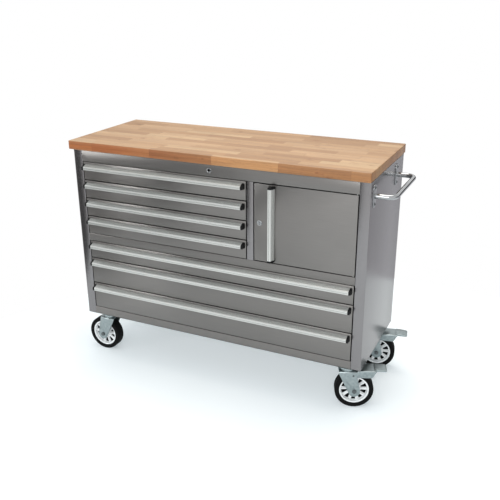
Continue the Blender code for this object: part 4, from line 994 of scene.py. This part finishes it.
# %% Form the foot pad and the shoe
PAD_START, PAD_LENGTH, PAD_CUTS = 101, 46, 8
PAD_MIDDLE, PAD_DROP = 161.3 * MM, 4.2 * MM
pad = block("pad_master", (101 * MM, -25 * MM, 157.3 * MM), (147 * MM, 25 * MM, 165.3 * MM))
edit(pad)
stations = [(PAD_START + cut * PAD_LENGTH / PAD_CUTS) * MM for cut in range(PAD_CUTS + 1)]
for x in stations[1:-1]:
    bpy.ops.mesh.select_all(action="SELECT")
    bpy.ops.mesh.bisect(plane_co=(x, 0, 0), plane_no=(1, 0, 0))
for cut, x in enumerate(stations):
    pick("VERT", lambda corner: abs(corner.co.x - x) < 0.1 * MM and corner.co.z > PAD_MIDDLE)
    bpy.ops.transform.translate(value=(0, 0, -PAD_DROP * (cut / PAD_CUTS) ** 2.5))
begin(pad)
round_edges(pad, 9 * MM, lambda edge: runs_along(edge, "Z") and edge.verts[0].co.x > 146 * MM, 5)
ease_all(pad, 1.0 * MM, 2, 50)
at_corners(pad, "foot_pad", "brake_pedal", zinc, False, BRAKED)
shoe = block("shoe_master", (45 * MM, -20 * MM, 149.9 * MM), (65 * MM, 20 * MM, 160.2 * MM))
ease_all(shoe, 1.2 * MM, 2)
at_corners(shoe, "brake_shoe", "brake_pedal", rubber, False, BRAKED)
print("hung two brake pedals")

# %% [markdown]
# ## Hinge pins
# The door turns on two small headed pins, which stay the CAD solids with a fastener's finish.

# %% Finish the CAD solids that still show
for name, solid in frame["nodes"].items():
    if not solid.hide_render:
        solid.data.materials.clear()
        solid.data.materials.append(bright_zinc)
        print("kept", name)

# %% [markdown]
# ## Floor, sky and lamps
# A product studio: a pale matt floor that glows a little, and two big soft lamps, overhead and in
# front. Metal shows what it reflects, so the walls are drawn in the sky: a light one in front, a
# greyer one behind with a dark band near the horizon, two dark screens, and a bright strip between
# them. Only reflections see these. Matt surfaces are lit by a plain sky, and past the floor all is
# white.

# %% Lay the floor
paint, tree, shader, place = finish(
    "lit_white_acrylic_floor", Roughness=0.9, Emission_Color=linear("#dbe7ec"), Emission_Strength=0.4
)
speckle = node(tree, "TexNoise", {"Vector": place, "Scale": 3.0, "Detail": 3.0})
tints = {6: linear("#dcdcdc"), 7: linear("#e2e2e2")}
feed(tree, shader, Base_Color=node(tree, "Mix", {0: speckle, **tints}, data_type="RGBA", take=2))
FLOOR_RADIUS, FLOOR_CENTRE = 1.85, (0.55, -0.75, 0)
begin()
bpy.ops.mesh.primitive_circle_add(
    vertices=96, radius=FLOOR_RADIUS, fill_type="NGON", location=FLOOR_CENTRE
)
floor = claim("floor")
floor.data.materials.append(paint)
floor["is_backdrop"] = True
print("the floor is", 2 * FLOOR_RADIUS, "m across")

# %% Draw the walls in the sky
world = bpy.data.worlds.new("studio")
bpy.context.scene.world = world
world.use_nodes = True
tree = world.node_tree
backdrop = tree.nodes["Background"]
way = node(tree, "TexCoord", take="Generated")
right, back, height = node(tree, "SeparateXYZ", {0: way}, take=None)
share = node(tree, "MapRange", {"Value": height, 1: -1.0, 2: 1.0})


def wall(codes):
    """A colour that changes with height: 0 is straight down, 0.5 level, 1 straight up."""
    ramp = node(tree, "ValToRGB", {0: share})
    for element, (position, code) in zip(ramp.node.color_ramp.elements, (codes[0], codes[-1])):
        element.position, element.color = position, linear(code)
    for position, code in codes[1:-1]:
        ramp.node.color_ramp.elements.new(position).color = linear(code)
    return ramp


front_codes = ((0.0, "#f8f8f8"), (0.5, "#f8f8f8"), (0.54, "#ffffff"), (0.7, "#ffffff"), (1.0, "#e4e4e4"))
back_codes = ((0.0, "#c6c6ca"), (0.44, "#c6c6ca"), (0.47, "#161617"), (0.57, "#1c1c1e"))
front_wall, back_wall = wall(front_codes), wall((*back_codes, (0.6, "#f4f4f4"), (1.0, "#e4e4e4")))
WALL_LIGHT = 1.25
behind = node(tree, "MapRange", {"Value": back, 1: -0.15, 2: 0.15})
walls = node(tree, "Mix", {0: behind, 6: front_wall, 7: back_wall}, data_type="RGBA", take=2)
walls = node(tree, "VectorMath", {0: walls, "Scale": WALL_LIGHT}, operation="SCALE")
print("drew the front and back walls")

# %% Stand the screens and the strip in it
def between(value, low, high, soft):
    """1 between two limits, falling to 0 outside them."""
    rise = node(tree, "MapRange", {"Value": value, 1: low - soft, 2: low})
    fall = node(tree, "MapRange", {"Value": value, 1: high, 2: high + soft, 3: 1, 4: 0})
    return node(tree, "Math", {0: rise, 1: fall}, operation="MULTIPLY")


level = node(tree, "VectorMath", {0: way, 1: (1, 1, 0)}, operation="MULTIPLY")
level = node(tree, "VectorMath", {0: level}, operation="NORMALIZE")


def upright_panel(towards, edge, soft, low, high, soft_height):
    """1 inside an upright panel of the studio; edge is the cosine of half the angle it fills."""
    facing = node(tree, "VectorMath", {0: level, 1: towards}, operation="DOT_PRODUCT", take="Value")
    wide, tall = between(facing, edge, 1.1, soft), between(height, low, high, soft_height)
    return node(tree, "Math", {0: wide, 1: tall}, operation="MULTIPLY")


post_screen = upright_panel((-0.682, -0.731, 0), 0.962, 0.014, -0.43, -0.12, 0.03)
tall_screen = upright_panel((-0.530, -0.848, 0), 0.9987, 0.0015, -0.32, 0.5, 0.1)
screens = node(tree, "Math", {0: post_screen, 1: tall_screen}, operation="MAXIMUM")
strip_light = upright_panel((-0.629, -0.777, 0), 0.9975, 0.002, -0.02, 0.45, 0.08)
STRIP_GLOW = (8, 8, 8, 1)
lit = {0: strip_light, 6: walls, 7: STRIP_GLOW}
walls = node(tree, "Mix", lit, data_type="RGBA", clamp_result=False, take=2)
screened = {0: screens, 6: walls, 7: linear("#0a0a0a")}
studio = node(tree, "Mix", screened, data_type="RGBA", take=2)
print("stood two screens and a strip light")

# %% Choose what each ray sees, and hang the lamps
far_side = node(tree, "MapRange", {"Value": right, 1: 0.1, 2: 0.9})
skies = {6: linear("#e6eef2"), 7: linear("#5c6468")}
ambient = node(tree, "Mix", {0: far_side, **skies}, data_type="RGBA", take=2)
rays = node(tree, "LightPath", take=None)
seen = {0: rays["Is Diffuse Ray"], 6: studio, 7: ambient}
backing = node(tree, "Mix", seen, data_type="RGBA", take=2)
seen = {0: rays["Is Camera Ray"], 6: backing, 7: (1, 1, 1, 1)}
backing = node(tree, "Mix", seen, data_type="RGBA", take=2)
feed(tree, backdrop, Color=backing)
backdrop.inputs["Strength"].default_value = 1.0


def lamp(name, at, towards, size, power, tint="#ffffff"):
    """A soft rectangular lamp, aimed at a point; its size is in metres and its power in watts."""
    data = bpy.data.lights.new(name, "AREA")
    data.shape, data.size, data.size_y, data.energy = "RECTANGLE", *size, power
    data.color = linear(tint)[:3]
    made = bpy.data.objects.new(name, data)
    bpy.context.scene.collection.objects.link(made)
    made.location = at
    made.rotation_euler = (Vector(towards) - Vector(at)).to_track_quat("-Z", "Y").to_euler()
    return made


lamp("overhead_softbox", (0.2, 0.4, 3.3), (0, 0, 0), (2.4, 2.0), 60, "#fffaf2")
lamp("front_softbox", (0.9, -3.6, 2.0), (0, 0, 0.5), (2.6, 1.6), 56)
bpy.context.scene.view_settings.view_transform = "Standard"
print("lit the studio")

# %% Measure the bounds
low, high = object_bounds()
